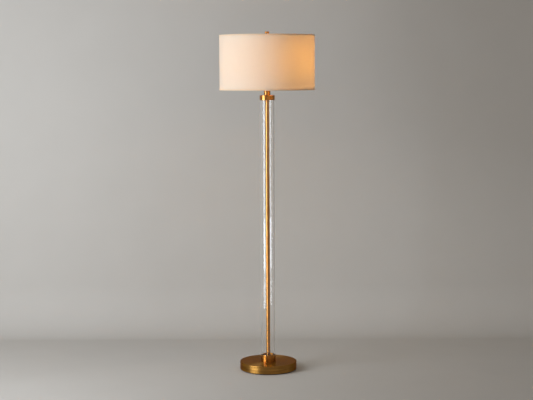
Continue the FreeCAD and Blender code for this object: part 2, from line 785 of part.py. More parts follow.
# ----------------------------------------------------------------------------------------------
# Harp
# ----------------------------------------------------------------------------------------------
def make_harp_saddle():
    """Steel strip bent up at both ends. The ends narrow to tabs that the harp's feet stand beside."""
    body = new_body("harp_saddle")
    outer_bend = "sizes.saddle_bend_radius"
    inner_bend = "sizes.saddle_bend_radius - sizes.saddle_thickness"
    bend_top = f"places.neck_top + {outer_bend}"
    bend_in = f"(places.tab_outside - {outer_bend})"
    strip = draw(new_sketch(body, "XZ_Plane"), [
        ("-places.tab_outside", "places.tab_top"),
        ("-places.tab_outside", bend_top),
        (f"-{bend_in}", "places.neck_top", outer_bend, LEFT),
        (bend_in, "places.neck_top"),
        ("places.tab_outside", bend_top, outer_bend, LEFT),
        ("places.tab_outside", "places.tab_top"),
        ("places.tab_inside", "places.tab_top"),
        ("places.tab_inside", bend_top),
        (bend_in, "places.saddle_top", inner_bend, RIGHT),
        (f"-{bend_in}", "places.saddle_top"),
        ("-places.tab_inside", bend_top, inner_bend, RIGHT),
        ("-places.tab_inside", "places.tab_top"),
    ])
    pad(body, strip, "sizes.saddle_width", both_ways=True)
    hole = draw_circle(new_sketch(body, "XY_Plane", "places.neck_top"), "0", "0",
                       "places.pipe_hole_radius")
    pocket(body, hole, "sizes.saddle_thickness * 3", both_ways=True)
    shoulders = new_sketch(body, "YZ_Plane")
    inner, outer = "sizes.tab_width / 2", "sizes.saddle_width"
    for sign in ("", "-"):
        draw(shoulders, rectangle(f"{sign}{inner}", f"{sign}{outer}", "places.tab_shoulder",
                                  "places.tab_top + sizes.saddle_thickness"))
    pocket(body, shoulders, "sizes.harp_foot_offset * 4", both_ways=True)
    return body


def make_harp_wire():
    """Bent steel wire. Its ends are pressed flat to feet, and its top to a seat for the stud."""
    body = new_body("harp_wire")
    lower, arch = "sizes.harp_lower_bend_radius", "sizes.harp_arch_radius"
    path = draw(new_sketch(body, "XZ_Plane"), [
        ("sizes.harp_foot_offset", "places.wire_bottom"),
        ("sizes.harp_foot_offset", "places.bend_start"),
        ("places.bend_end_out", "places.bend_end", lower, RIGHT),
        ("places.arch_start_out", "places.arch_start"),
        ("places.arch_flat", "places.arch_crown", arch, LEFT),
        ("-places.arch_flat", "places.arch_crown"),
        ("-places.arch_start_out", "places.arch_start", arch, LEFT),
        ("-places.bend_end_out", "places.bend_end"),
        ("-sizes.harp_foot_offset", "places.bend_start", lower, RIGHT),
        ("-sizes.harp_foot_offset", "places.wire_bottom"),
    ], closed=False)
    section = draw_circle(new_sketch(body, "XY_Plane", "places.wire_bottom"),
                          "sizes.harp_foot_offset", "0", "places.wire_radius")
    sweep(body, section, path)
    platform_bottom = "places.platform_top - sizes.platform_thickness"
    platform = draw_circle(new_sketch(body, "XY_Plane", platform_bottom), "0", "0",
                           "sizes.platform_diameter / 2")
    pad(body, platform, "sizes.platform_thickness")
    flattened = draw_circle(new_sketch(body, "XY_Plane", platform_bottom), "0", "0",
                            "sizes.platform_diameter / 2")
    pocket(body, flattened, "sizes.harp_wire_diameter")
    rivet_hole = draw_circle(new_sketch(body, "XY_Plane", "places.platform_top"), "0", "0",
                             "sizes.rivet_diameter / 2 + sizes.running_gap")
    pocket(body, rivet_hole, "sizes.platform_thickness")
    foot = draw(new_sketch(body, "XZ_Plane"), rectangle(
        "places.foot_inside", "places.foot_inside + sizes.foot_thickness",
        "places.foot_bottom", "places.foot_top"))
    mirror(body, [pad(body, foot, "sizes.foot_width", both_ways=True)], "YZ_Plane")
    return body


def make_harp_stud():
    """Stud riveted to the top of the harp: its flange and hub carry and centre the shade."""
    rivet_seat = "places.platform_top - sizes.platform_thickness"
    hub_top = "places.seat + sizes.stud_hub_height"
    stud_top = "places.seat + sizes.stud_length"
    return turned_piece("harp_stud", [
        ("0", f"{rivet_seat} - sizes.rivet_head_height"),
        ("sizes.rivet_head_diameter / 2", f"{rivet_seat} - sizes.rivet_head_height"),
        ("sizes.rivet_head_diameter / 2", rivet_seat),
        ("sizes.rivet_diameter / 2", rivet_seat),
        ("sizes.rivet_diameter / 2", "places.platform_top"),
        ("sizes.stud_flange_diameter / 2", "places.platform_top"),
        ("sizes.stud_flange_diameter / 2", "places.seat"),
        ("sizes.stud_hub_diameter / 2", "places.seat"),
        ("sizes.stud_hub_diameter / 2", hub_top),
        ("sizes.stud_diameter / 2", hub_top),
        ("sizes.stud_diameter / 2", stud_top),
        ("0", stud_top),
    ])


def make_ferrule(label, sign):
    """Sleeve that slides down over a foot and its tab and locks them together."""
    bore = "sizes.ferrule_bore / 2"
    outside = f"{bore} + sizes.ferrule_wall"
    lip = f"{outside} + sizes.ferrule_lip"
    lip_top = "places.ferrule_bottom + sizes.ferrule_wall"
    neck = "places.wire_radius + sizes.hole_gap"
    top = "places.ferrule_ceiling + sizes.ferrule_neck_height"
    body = turned_piece(label, [
        (bore, "places.ferrule_bottom"),
        (lip, "places.ferrule_bottom"),
        (lip, lip_top),
        (outside, lip_top),
        (outside, "places.ferrule_ceiling"),
        (f"{neck} + sizes.ferrule_wall", top),
        (neck, top),
        (neck, "places.ferrule_ceiling"),
        (bore, "places.ferrule_ceiling"),
    ])
    body.setExpression(".Placement.Base.x", f"{sign}sizes.harp_foot_offset")
    return body


# ----------------------------------------------------------------------------------------------
# Lampholder
# ----------------------------------------------------------------------------------------------
def make_socket_cap():
    """Brass cap of the lampholder: a hub on the pipe that opens into a bowl."""
    hub = "sizes.socket_hub_diameter / 2"
    wall = "sizes.socket_cap_wall"
    inside = f"places.socket_cap_radius - {wall}"
    bowl_start = "places.socket_bottom + sizes.socket_cap_bowl_start"
    bowl_end = "places.socket_bottom + sizes.socket_cap_bowl_end"
    bowl_radius = "sizes.socket_cap_bowl_radius"
    return turned_piece("socket_cap", [
        ("places.pipe_hole_radius", "places.socket_bottom"),
        (hub, "places.socket_bottom"),
        (hub, bowl_start),
        ("places.socket_cap_radius", bowl_end, bowl_radius, LEFT),
        ("places.socket_cap_radius", "places.socket_cap_top"),
        (inside, "places.socket_cap_top"),
        (inside, bowl_end),
        (hub, f"{bowl_start} + {wall}", f"{bowl_radius} - {wall}", RIGHT),
        (hub, "places.socket_hub_top"),
        ("places.pipe_hole_radius", "places.socket_hub_top"),
    ])


def make_socket_body():
    """Moulded body that carries the contacts and the switch: a foot, two terminal pockets with
    their screw holes, and the bearing of the switch shaft at the front."""
    body = new_body("socket_body")
    foot = "sizes.body_foot_diameter / 2"
    revolve(body, [
        ("0", "places.body_bottom"),
        (foot, "places.body_bottom"),
        (foot, "places.body_shoulder"),
        ("places.body_radius", "places.body_shoulder"),
        ("places.body_radius", "places.body_top"),
        ("0", "places.body_top"),
    ])
    pockets = new_sketch(body, "XZ_Plane")
    for sign in ("", "-"):
        draw(pockets, rectangle(
            f"{sign}places.terminal_face", f"{sign}places.body_radius * 1.2",
            "places.body_shoulder", "places.body_shoulder + sizes.terminal_height"))
    pocket(body, pockets, "sizes.terminal_pocket_width", both_ways=True)
    holes = draw_circle(new_sketch(body, "YZ_Plane"), "0", "places.terminal_level",
                        "sizes.screw_shank_diameter / 2 + sizes.running_gap")
    pocket(body, holes, "sizes.body_diameter", both_ways=True)
    bearing = draw_circle(new_sketch(body, "XZ_Plane", "places.shaft_start"), "0",
                          "places.switch_level", "places.switch_hole_radius")
    pocket(body, bearing, "sizes.body_diameter", reverse=True)
    return body


def make_terminal_screws():
    """The two terminal screws, one in each pocket of the socket body."""
    head = document.addObject("Part::Cylinder", "terminal_screw_head")
    head.setExpression("Radius", "sizes.screw_head_diameter / 2")
    head.setExpression("Height", "sizes.screw_head_height")
    head.setExpression(".Placement.Base.x", "places.terminal_face")
    shank = document.addObject("Part::Cylinder", "terminal_screw_shank")
    shank.setExpression("Radius", "sizes.screw_shank_diameter / 2")
    shank.setExpression("Height", "sizes.screw_shank_length")
    shank.setExpression(".Placement.Base.x", "places.terminal_face - sizes.screw_shank_length")
    for piece in (head, shank):
        piece.Placement.Rotation = FreeCAD.Rotation(FreeCAD.Vector(0, 1, 0), 90)
        piece.setExpression(".Placement.Base.z", "places.terminal_level")
    right_screw = document.addObject("Part::Fuse", "right_terminal_screw")
    right_screw.Base = head
    right_screw.Tool = shank
    left_screw = document.addObject("Part::Mirroring", "left_terminal_screw")
    left_screw.Source = right_screw
    left_screw.Normal = FreeCAD.Vector(1, 0, 0)
    group = document.addObject("Part::Compound", "terminal_screws")
    group.Links = [right_screw, left_screw]
    return group


def make_thread_shell():
    """Threaded brass shell that the bulb screws into, open in its floor for the centre contact."""
    outside = "sizes.thread_shell_diameter / 2"
    inside = f"{outside} - sizes.thread_shell_wall"
    floor_top = "places.body_top + sizes.thread_shell_wall"
    top = "places.body_top + sizes.thread_shell_height"
    return turned_piece("thread_shell", [
        ("sizes.thread_shell_hole / 2", "places.body_top"),
        (outside, "places.body_top"),
        (outside, top),
        (inside, top),
        (inside, floor_top),
        ("sizes.thread_shell_hole / 2", floor_top),
    ])


def make_centre_contact():
    """Sprung brass strip under the bulb's tip: a foot on the body, a ramp and a flat end."""
    body = new_body("centre_contact")
    reach, thick = "sizes.contact_reach", "sizes.contact_thickness"
    foot_top = f"places.body_top + {thick}"
    under_end = f"places.contact_top - {thick}"
    strip = draw(new_sketch(body, "YZ_Plane"), [
        (f"-{reach}", "places.body_top"),
        (f"-{reach} / 2", "places.body_top"),
        (f"-{reach} / 10", under_end),
        (f"{reach} / 2", under_end),
        (f"{reach} / 2", "places.contact_top"),
        (f"-{reach} / 5", "places.contact_top"),
        (f"-{reach} * 3 / 5", foot_top),
        (f"-{reach}", foot_top),
    ])
    pad(body, strip, "sizes.contact_width", both_ways=True)
    return body


def cut_switch_hole(body):
    """Hole in the front of a sleeve for the switch shaft."""
    hole = draw_circle(new_sketch(body, "XZ_Plane"), "0", "places.switch_level",
                       "sizes.switch_shaft_diameter / 2 + sizes.hole_gap")
    pocket(body, hole, "sizes.shell_diameter", reverse=True)


def make_socket_liner():
    """Fibre sleeve that insulates the shell from the body."""
    body = ring("socket_liner", "places.liner_radius - sizes.liner_wall", "places.liner_radius",
                "places.liner_bottom", "places.liner_top")
    cut_switch_hole(body)
    return body


def make_socket_shell():
    """Brass sleeve of the lampholder: it snaps into the cap and is turned in at its mouth."""
    inside = "places.shell_radius - sizes.shell_wall"
    lip_bottom = "places.shell_top - sizes.shell_wall"
    body = turned_piece("socket_shell", [
        (inside, "places.shell_bottom"),
        ("places.shell_radius", "places.shell_bottom"),
        ("places.shell_radius", "places.shell_top"),
        (f"{inside} - sizes.shell_lip", "places.shell_top"),
        (f"{inside} - sizes.shell_lip", lip_bottom),
        (inside, lip_bottom),
    ])
    cut_switch_hole(body)
    return body


def make_switch_shaft():
    """Steel shaft of the rotary switch, from its bearing in the body into the knob."""
    radius = "sizes.switch_shaft_diameter / 2"
    body = turned_piece("switch_shaft", rectangle("0", radius, "places.shaft_start", "places.shaft_end"))
    stand_along_y(body, -1, "places.switch_level")
    return body


def make_switch_knob():
    """Moulded knob: a tapered barrel with flutes round it and a blind bore for the shaft."""
    body = new_body("switch_knob")
    radius = "sizes.switch_knob_diameter / 2"
    bore = "places.switch_hole_radius"
    revolve(body, [
        (bore, "places.knob_start"),
        (radius, "places.knob_start"),
        (f"{radius} - sizes.switch_knob_taper", "places.knob_end"),
        ("0", "places.knob_end"),
        ("0", "places.shaft_end"),
        (bore, "places.shaft_end"),
    ])
    ease_edges(body, "Fillet", "sizes.switch_knob_edge_radius",
               [(f"{radius} - sizes.switch_knob_taper", "places.knob_end")])
    groove = draw_circle(new_sketch(body, "XY_Plane", "places.knob_start + sizes.switch_knob_collar"),
                         f"{radius} + sizes.switch_flute_offset", "0",
                         "sizes.switch_flute_diameter / 2")
    flute = pocket(body, groove, "sizes.switch_knob_length", reverse=True)
    polar_pattern(body, flute, "sizes.switch_flute_count")
    stand_along_y(body, -1, "places.switch_level")
    return body


# ----------------------------------------------------------------------------------------------
# Bulb
# ----------------------------------------------------------------------------------------------
def make_bulb_contact():
    """Glass insulator in the end of the bulb's cap, with the contact button below it."""
    button = "sizes.bulb_button_diameter / 2"
    button_top = "places.bulb_bottom + sizes.bulb_button_height"
    return turned_piece("bulb_contact", [
        ("0", "places.bulb_bottom"),
        (button, "places.bulb_bottom"),
        (button, button_top),
        (f"{button} * 2", button_top),
        ("sizes.bulb_contact_diameter / 2", "places.bulb_cap_bottom"),
        ("0", "places.bulb_cap_bottom"),
    ])


def make_bulb_cap():
    """Metal screw cap of the bulb."""
    inside = "places.bulb_cap_radius - sizes.bulb_cap_wall"
    floor_top = "places.bulb_cap_bottom + sizes.bulb_cap_wall"
    hole = "sizes.bulb_button_diameter"
    body = turned_piece("bulb_cap", [
        (hole, "places.bulb_cap_bottom"),
        ("places.bulb_cap_radius", "places.bulb_cap_bottom"),
        ("places.bulb_cap_radius", "places.bulb_cap_top"),
        (inside, "places.bulb_cap_top"),
        (inside, floor_top),
        (hole, floor_top),
    ])
    return body


def make_bulb_housing():
    """Plastic neck of the bulb: it flares from the cap to the rim, where the board lies in a step."""
    wall = "sizes.bulb_housing_wall"
    curve = "sizes.bulb_housing_curve_radius"
    recess = "sizes.led_board_diameter / 2 + sizes.turning_gap"
    ledge = "places.bulb_rim_level - sizes.led_board_thickness"
    return turned_piece("bulb_housing", [
        (recess, "places.bulb_rim_level"),
        (recess, ledge),
        (f"places.bulb_rim_radius - {wall} * 3", ledge),
        (f"places.bulb_cap_radius - {wall}", "places.bulb_cap_top", f"{curve} + {wall}", LEFT),
        ("places.bulb_cap_radius", "places.bulb_cap_top"),
        ("places.bulb_rim_radius", "places.bulb_rim_level", curve, RIGHT),
    ])


def make_led_board():
    """Round board that carries the light-emitting diodes."""
    low = "places.bulb_rim_level - sizes.led_board_thickness"
    return turned_piece("led_board", rectangle("0", "sizes.led_board_diameter / 2", low,
                                               "places.bulb_rim_level"))


def make_bulb_diffuser():
    """Frosted globe of the bulb, open where it sits on the neck."""
    return turned_piece("bulb_diffuser", [
        ("places.bulb_rim_radius", "places.bulb_rim_level"),
        ("0", "places.globe_centre + places.globe_radius", "places.globe_radius", LEFT),
        ("0", "places.globe_centre + places.globe_inner_radius"),
        ("places.globe_inner_rim", "places.bulb_rim_level", "places.globe_inner_radius", RIGHT),
    ])


# ----------------------------------------------------------------------------------------------
# Shade and finial
# ----------------------------------------------------------------------------------------------
def revolve_wire(body, radius, level):
    """A round wire bent to a closed ring about the Z axis."""
    section = draw_circle(new_sketch(body, "XZ_Plane"), radius, level, "places.ring_wire_radius")
    turned = body.newObject("PartDesign::Revolution", body.Label + "_ring")
    turned.Profile = (section, [""])
    turned.ReferenceAxis = (section, ["V_Axis"])
    turned.Angle = 360
    document.recompute()
    return turned


def make_shade_spider():
    """Washer on the harp's stud, with wire arms out to the ring that the shade's top is fixed to.
    The arms run level and then bend up, so that the washer lies below the shade's rim."""
    body = new_body("shade_spider")
    washer = new_sketch(body, "XY_Plane", "places.washer_bottom")
    draw_circle(washer, "0", "0", "sizes.spider_washer_diameter / 2")
    draw_circle(washer, "0", "0", "sizes.stud_hub_diameter / 2 + sizes.hole_gap")
    pad(body, washer, "sizes.spider_washer_thickness")
    weld = "(sizes.spider_washer_diameter / 2 - sizes.ring_wire_diameter)"
    path = draw(new_sketch(body, "YZ_Plane"), [
        (weld, "places.washer_middle"),
        ("places.arm_bend_start", "places.washer_middle"),
        ("places.arm_bend_end", "places.arm_bend_top", "sizes.spider_bend_radius", LEFT),
        ("places.ring_radius", "places.top_ring_level"),
    ], closed=False)
    section = draw_circle(new_sketch(body, "XZ_Plane", f"-{weld}"), "0", "places.washer_middle",
                          "places.ring_wire_radius")
    arm = sweep(body, section, path)
    polar_pattern(body, arm, "sizes.spider_arm_count")
    revolve_wire(body, "places.ring_radius", "places.top_ring_level")
    return body


def make_shade_bottom_ring():
    """Wire ring that keeps the lower edge of the shade round."""
    body = new_body("shade_bottom_ring")
    revolve_wire(body, "places.ring_radius", "places.bottom_ring_level")
    return body


def make_shade_fabric():
    """Linen skin of the drum."""
    return ring("shade_fabric", "places.fabric_radius - sizes.fabric_thickness",
                "places.fabric_radius", "places.drum_bottom", "places.drum_top")


def make_shade_liner():
    """Stiff translucent sheet behind the linen."""
    return ring("shade_liner", "places.liner_inside", "places.liner_outside",
                "places.drum_bottom", "places.drum_top")


def make_shade_trim(label, rim, inwards):
    """Linen tape folded over a rim of the drum and the ring behind it. The sign leads from the
    rim towards the middle of the drum."""
    thick = "sizes.trim_thickness"
    fold = f"{rim} {inwards} {thick}"
    outer_end = f"{rim} {inwards} sizes.trim_height"
    inner_end = f"{rim} {inwards} sizes.trim_return_height"
    return turned_piece(label, [
        ("places.shade_radius", rim),
        ("places.shade_radius", outer_end),
        (f"places.shade_radius - {thick}", outer_end),
        (f"places.shade_radius - {thick}", fold),
        ("places.trim_return_radius", fold),
        ("places.trim_return_radius", inner_end),
        (f"places.trim_return_radius - {thick}", inner_end),
        (f"places.trim_return_radius - {thick}", rim),
    ])


def make_shade_top_trim():
    """The upper trim, slit on its inner side where the spider's arms come up to the ring."""
    body = make_shade_trim("shade_top_trim", "places.shade_top", "-")
    half = "sizes.trim_notch_width / 2"
    slit = new_sketch(body, "XZ_Plane", "-places.arm_bend_end")
    draw(slit, rectangle(f"-{half}", half, "places.shade_top - sizes.trim_height",
                         "places.shade_top - sizes.trim_thickness"))
    cut = pocket(body, slit, "places.trim_return_radius - places.arm_bend_end")
    polar_pattern(body, cut, "sizes.spider_arm_count")
    return body


def make_finial():
    """Turned brass nut that holds the shade down: a flange, a waist and a plain drum head."""
    bore = "sizes.stud_diameter / 2 + sizes.running_gap"
    flange = "sizes.finial_flange_diameter / 2"
    flange_top = "places.finial_bottom + sizes.finial_flange_thickness"
    waist = "sizes.finial_neck_diameter / 2"
    head = "sizes.finial_head_diameter / 2"
    head_bottom = "places.finial_top - sizes.finial_head_height"
    bore_end = "places.finial_bottom + sizes.finial_bore_depth"
    body = turned_piece("finial", [
        (bore, "places.finial_bottom"),
        (flange, "places.finial_bottom"),
        (flange, flange_top),
        (waist, flange_top),
        (waist, f"{head_bottom} - ({head} - {waist})"),
        (head, head_bottom, "sizes.finial_cove_radius", RIGHT),
        (head, "places.finial_top"),
        ("0", "places.finial_top"),
        ("0", bore_end),
        (bore, bore_end),
    ])
    ease_edges(body, "Fillet", "sizes.finial_edge_radius", [(head, "places.finial_top")])
    return body


# ----------------------------------------------------------------------------------------------
# Assembly and export
# ----------------------------------------------------------------------------------------------
def make_all():
    """Every piece of the lamp, from the floor up."""
    return [
        make_base_pad(),
        make_base_cover(),
        make_base_weight(),
        make_cord_bushing(),
        make_locknut("lower_locknut", "places.lower_nut_bottom"),
        make_pipe_washer(),
        make_lamp_pipe(),
        make_lower_collar(),
        make_gasket("lower_gasket", "places.collar_floor", "places.glass_bottom"),
        make_glass_column(),
        make_centre_rod(),
        make_gasket("upper_gasket", "places.glass_top", "places.cap_ceiling"),
        make_upper_cap(),
        make_neck(),
        make_harp_saddle(),
        make_locknut("upper_locknut", "places.saddle_top"),
        make_socket_cap(),
        make_socket_body(),
        make_terminal_screws(),
        make_thread_shell(),
        make_centre_contact(),
        make_socket_liner(),
        make_socket_shell(),
        make_switch_shaft(),
        make_switch_knob(),
        make_bulb_contact(),
        make_bulb_cap(),
        make_bulb_housing(),
        make_led_board(),
        make_bulb_diffuser(),
        make_harp_wire(),
        make_harp_stud(),
        make_ferrule("left_ferrule", "-"),
        make_ferrule("right_ferrule", ""),
        make_shade_spider(),
        make_shade_bottom_ring(),
        make_shade_fabric(),
        make_shade_liner(),
        make_shade_top_trim(),
        make_shade_trim("shade_bottom_trim", "places.shade_bottom", "+"),
        make_finial(),
    ]


def check_document():
    """Stops if any object of the document failed."""
    for item in document.Objects:
        if "Invalid" in item.State or "Error" in item.State:
            raise RuntimeError(f"{item.Label} failed: {item.State}")


def check_piece(piece):
    """Stops if a piece is empty, broken or without a solid."""
    shape = piece.Shape
    if shape.isNull() or not shape.isValid() or not shape.Solids:
        raise RuntimeError(f"{piece.Label} has no valid solid")


pieces = make_all()
document.recompute()
check_document()
os.makedirs(PARTS_FOLDER, exist_ok=True)
for piece in pieces:
    check_piece(piece)
for piece in pieces:
    piece.Shape.exportStep(f"{PARTS_FOLDER}/{piece.Label}.step")
print(f"{len(pieces)} pieces written")
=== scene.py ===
"""Looks of the column floor lamp: brushed and turned brass, a clear glass column and a linen drum
shade lit from inside, on a pale studio floor.

Shapes are worked out in millimetres and become metres when a mesh is made. The frame is the
model's own: +Z up, origin in the middle of the base's underside, front towards -Y.
"""

import json
import math

import bmesh
import bpy
import numpy as np
from mathutils import Matrix, Vector

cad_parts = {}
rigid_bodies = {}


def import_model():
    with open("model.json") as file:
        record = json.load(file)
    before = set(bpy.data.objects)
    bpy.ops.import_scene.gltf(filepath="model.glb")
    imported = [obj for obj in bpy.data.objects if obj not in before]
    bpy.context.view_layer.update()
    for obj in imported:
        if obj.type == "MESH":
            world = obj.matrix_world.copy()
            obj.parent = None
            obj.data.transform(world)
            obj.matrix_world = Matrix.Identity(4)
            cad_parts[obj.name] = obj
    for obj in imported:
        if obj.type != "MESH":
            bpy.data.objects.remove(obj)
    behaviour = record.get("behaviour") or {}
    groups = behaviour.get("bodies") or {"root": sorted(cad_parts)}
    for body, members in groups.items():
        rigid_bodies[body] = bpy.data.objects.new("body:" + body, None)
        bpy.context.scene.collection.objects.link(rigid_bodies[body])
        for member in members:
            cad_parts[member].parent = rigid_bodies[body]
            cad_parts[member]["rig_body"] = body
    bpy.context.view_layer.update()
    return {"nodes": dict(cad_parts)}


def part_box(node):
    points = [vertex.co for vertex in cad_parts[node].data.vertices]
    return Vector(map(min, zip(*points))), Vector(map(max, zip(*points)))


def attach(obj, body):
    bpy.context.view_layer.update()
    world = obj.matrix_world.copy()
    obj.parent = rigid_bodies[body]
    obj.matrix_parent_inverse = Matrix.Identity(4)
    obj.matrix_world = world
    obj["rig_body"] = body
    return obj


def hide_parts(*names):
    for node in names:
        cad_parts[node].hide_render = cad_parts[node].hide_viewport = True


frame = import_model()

MM = 0.001
TURN = 2 * math.pi
FINE = 192  # steps round a piece that the camera sees large
MEDIUM = 96  # steps round a small piece
SHARP = math.radians(35)  # faces that meet at more than this keep their edge

GLOBE_GLOW = 3.0  # radiance of the lit globe, where 1 is white
BULB_WATTS = 1.8  # of the light that the bulb casts
SURROUND_LIGHT = 0.28  # strength of the world as a light


# ----------------------------------------------------------------------------------------------
# Places, read from the frame
# ----------------------------------------------------------------------------------------------
def span(node):
    """Outer radius, lowest and highest level of a node about the Z axis, in millimetres."""
    low, high = (np.array(corner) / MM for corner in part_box(node))
    return float(max(high[0], high[1])), float(low[2]), float(high[2])


def middle_x(node):
    """The X of the middle of a node's box, in millimetres."""
    low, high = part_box(node)
    return float(low[0] + high[0]) / 2 / MM


# ----------------------------------------------------------------------------------------------
# Outlines and paths
# ----------------------------------------------------------------------------------------------
def unit(vectors):
    """Each vector over its own length. A zero vector stays zero."""
    return vectors / (np.linalg.norm(vectors, axis=-1, keepdims=True) + 1e-12)


def rounded(corners, steps=7, closed=True):
    """An outline through (across, up, rounding) corners. Each corner gives way to the arc of that
    radius that touches both its sides: the arc's centre lies on the corner's bisector, at the
    radius over the sine of half the corner's angle, and the arc is swept between the two points
    of touch at a steady rate. The ends of an open outline stay sharp."""
    table = np.array(corners, dtype=float)
    points, radius = table[:, None, :2], table[:, 2, None, None]
    back = unit(np.roll(points, 1, 0) - points)
    ahead = unit(np.roll(points, -1, 0) - points)
    half = np.arccos(np.clip((back * ahead).sum(-1, keepdims=True), -1, 1)) / 2
    centre = points + unit(back + ahead) * radius / np.sin(half)
    first = points + back * radius / np.tan(half) - centre
    last = points + ahead * radius / np.tan(half) - centre
    turn = np.pi - 2 * half
    share = np.linspace(0, 1, steps)[None, :, None]
    spread = np.where(np.sin(turn) < 1e-9, 1, np.sin(turn))
    arcs = centre + (np.sin((1 - share) * turn) * first + np.sin(share * turn) * last) / spread
    sharp = table[:, 2] == 0
    if not closed:
        sharp[[0, -1]] = True
    keep = np.ones((len(table), steps), dtype=bool)
    keep[sharp, 1:] = False
    arcs[sharp] = points[sharp]
    return arcs[keep]


def arc(centre, radius, start, end, steps=24):
    """Points of a circle about (across, up) from one angle to another, in degrees."""
    angle = np.radians(np.linspace(start, end, steps))[:, None]
    return np.array(centre) + radius * np.concatenate([np.cos(angle), np.sin(angle)], axis=1)


def respaced(path, spacing):
    """The same path with its points a steady distance apart along it."""
    steps = np.linalg.norm(np.diff(path, axis=0), axis=1)
    along = np.concatenate([[0], np.cumsum(steps)])
    wanted = np.linspace(0, along[-1], max(2, int(along[-1] / spacing)))
    return np.stack([np.interp(wanted, along, path[:, k]) for k in range(path.shape[1])], axis=1)


def smooth(value, low, high):
    """0 below low, 1 above high, and 3t^2 - 2t^3 between them."""
    share = np.clip((value - low) / (high - low), 0, 1)
    return share * share * (3 - 2 * share)


# ----------------------------------------------------------------------------------------------
# Surfaces
# ----------------------------------------------------------------------------------------------
def quads(rows, columns, wrap_rows, wrap_columns):
    """Corner numbers of the faces of a grid, and the grid place of each corner before the sides
    are closed."""
    row = np.arange(rows if wrap_rows else rows - 1)[:, None, None]
    column = np.arange(columns if wrap_columns else columns - 1)[None, :, None]
    row = row + np.array([0, 1, 1, 0])
    column = column + np.array([0, 0, 1, 1])
    corners = (row % rows) * columns + column % columns
    places = np.stack(np.broadcast_arrays(row, column), axis=-1)
    return corners.reshape(-1, 4), places.reshape(-1, 2)


def surface(name, grids):
    """One mesh from grids of points in millimetres. Each grid is (points, wrap_rows,
    wrap_columns): points has the shape rows by columns by 3, and a wrapped side is closed. The UV
    map gives the distance along the rows and columns in metres: across the columns as the grid's
    first row has it, and from row to row at its widest. Points that meet are merged, so poles
    close."""
    vertices, faces, uvs, start = [], [], [], 0
    for points, wrap_rows, wrap_columns in grids:
        rows, columns = points.shape[:2]
        corners, places = quads(rows, columns, wrap_rows, wrap_columns)
        looped = np.concatenate([points, points[:1]], axis=0)
        looped = np.concatenate([looped, looped[:, :1]], axis=1)
        down = np.linalg.norm(np.diff(looped, axis=0), axis=-1).max(axis=1)
        across = np.linalg.norm(np.diff(looped, axis=1), axis=-1)[0]
        u = np.concatenate([[0], np.cumsum(down)]) * MM
        v = np.concatenate([[0], np.cumsum(across)]) * MM
        vertices.append(points.reshape(-1, 3) * MM)
        faces.append(corners + start)
        uvs.append(np.stack([u[places[:, 0]], v[places[:, 1]]], axis=-1))
        start += rows * columns
    mesh = bpy.data.meshes.new(name)
    mesh.from_pydata(np.concatenate(vertices).tolist(), [], np.concatenate(faces).tolist())
    layer = mesh.uv_layers.new(name="UVMap")
    layer.data.foreach_set("uv", np.concatenate(uvs).astype(np.float32).ravel())
    weld(mesh)
    return mesh


def weld(mesh, distance=2e-6):
    """Merges points that meet and turns every face outwards."""
    work = bmesh.new()
    work.from_mesh(mesh)
    bmesh.ops.remove_doubles(work, verts=work.verts, dist=distance)
    bmesh.ops.recalc_face_normals(work, faces=work.faces)
    work.to_mesh(mesh)
    work.free()
    mesh.shade_smooth()
    mesh.set_sharp_from_angle(angle=SHARP)


def turned(outline, steps=MEDIUM, wave=None, centre=(0, 0)):
    """A closed outline of (radius, level) points turned about an upright axis: each point goes to
    (radius cos a, radius sin a, level) for a full turn of angles a. wave(angle, radius, level)
    may give a radius of its own for each point. An outline that starts and ends on the axis isn't
    closed along it."""
    angle = np.arange(steps)[:, None] * TURN / steps
    radius, level = np.broadcast_arrays(*outline.T[:, None, :])
    radius = np.repeat(radius, steps, axis=0)
    level = np.repeat(level, steps, axis=0)
    if wave:
        radius = wave(angle, radius, level)
    x = centre[0] + radius * np.cos(angle)
    y = centre[1] + radius * np.sin(angle)
    on_axis = outline[0, 0] == 0 and outline[-1, 0] == 0
    return np.stack([x, y, level], axis=-1), True, not on_axis


def carried(path, side, half_side, half_up, squareness=2.0, steps=20, closed=False):
    """A section carried along a path. The section is the superellipse side |cos a|^(2/n) half_side
    plus up |sin a|^(2/n) half_up, signs kept, where up is the path's direction turned square to
    side, and n is squareness, so 2 is round and a large n is nearly a rectangle. half_side,
    half_up and n may change along the path. Its open ends close in a flat cap."""
    path = np.asarray(path, dtype=float)
    count = len(path)
    if closed:
        along = unit(np.roll(path, -1, 0) - np.roll(path, 1, 0))
    else:
        along = unit(np.gradient(path, axis=0))
    side = unit(np.broadcast_to(np.asarray(side, dtype=float), (count, 3)))
    up = unit(np.cross(along, side))
    angle = np.arange(steps) * TURN / steps
    power = 2 / np.broadcast_to(squareness, (count,))[:, None]
    across = np.sign(np.cos(angle)) * np.abs(np.cos(angle)) ** power
    above = np.sign(np.sin(angle)) * np.abs(np.sin(angle)) ** power
    across = across * np.broadcast_to(half_side, (count,))[:, None]
    above = above * np.broadcast_to(half_up, (count,))[:, None]
    points = path[:, None] + side[:, None] * across[..., None] + up[:, None] * above[..., None]
    if closed:
        return points, True, True
    caps = [np.repeat(path[[end], None], steps, axis=1) for end in (0, -1)]
    return np.concatenate([caps[0], points, caps[1]]), False, True


def upright(path, plane_angle=0.0):
    """A path drawn as (out, up) stood in the upright plane at that angle about Z, in radians."""
    out, up = np.asarray(path).T
    return np.stack([out * math.cos(plane_angle), out * math.sin(plane_angle), up], axis=1)


def along_y(grid, level, direction):
    """A grid drawn about Z laid along Y: its Z becomes the distance out of the back (+1) or the
    front (-1), at that level."""
    points, wrap_rows, wrap_columns = grid
    x, y, z = np.moveaxis(points, -1, 0)
    return np.stack([x, z * direction, level - y * direction], axis=-1), wrap_rows, wrap_columns


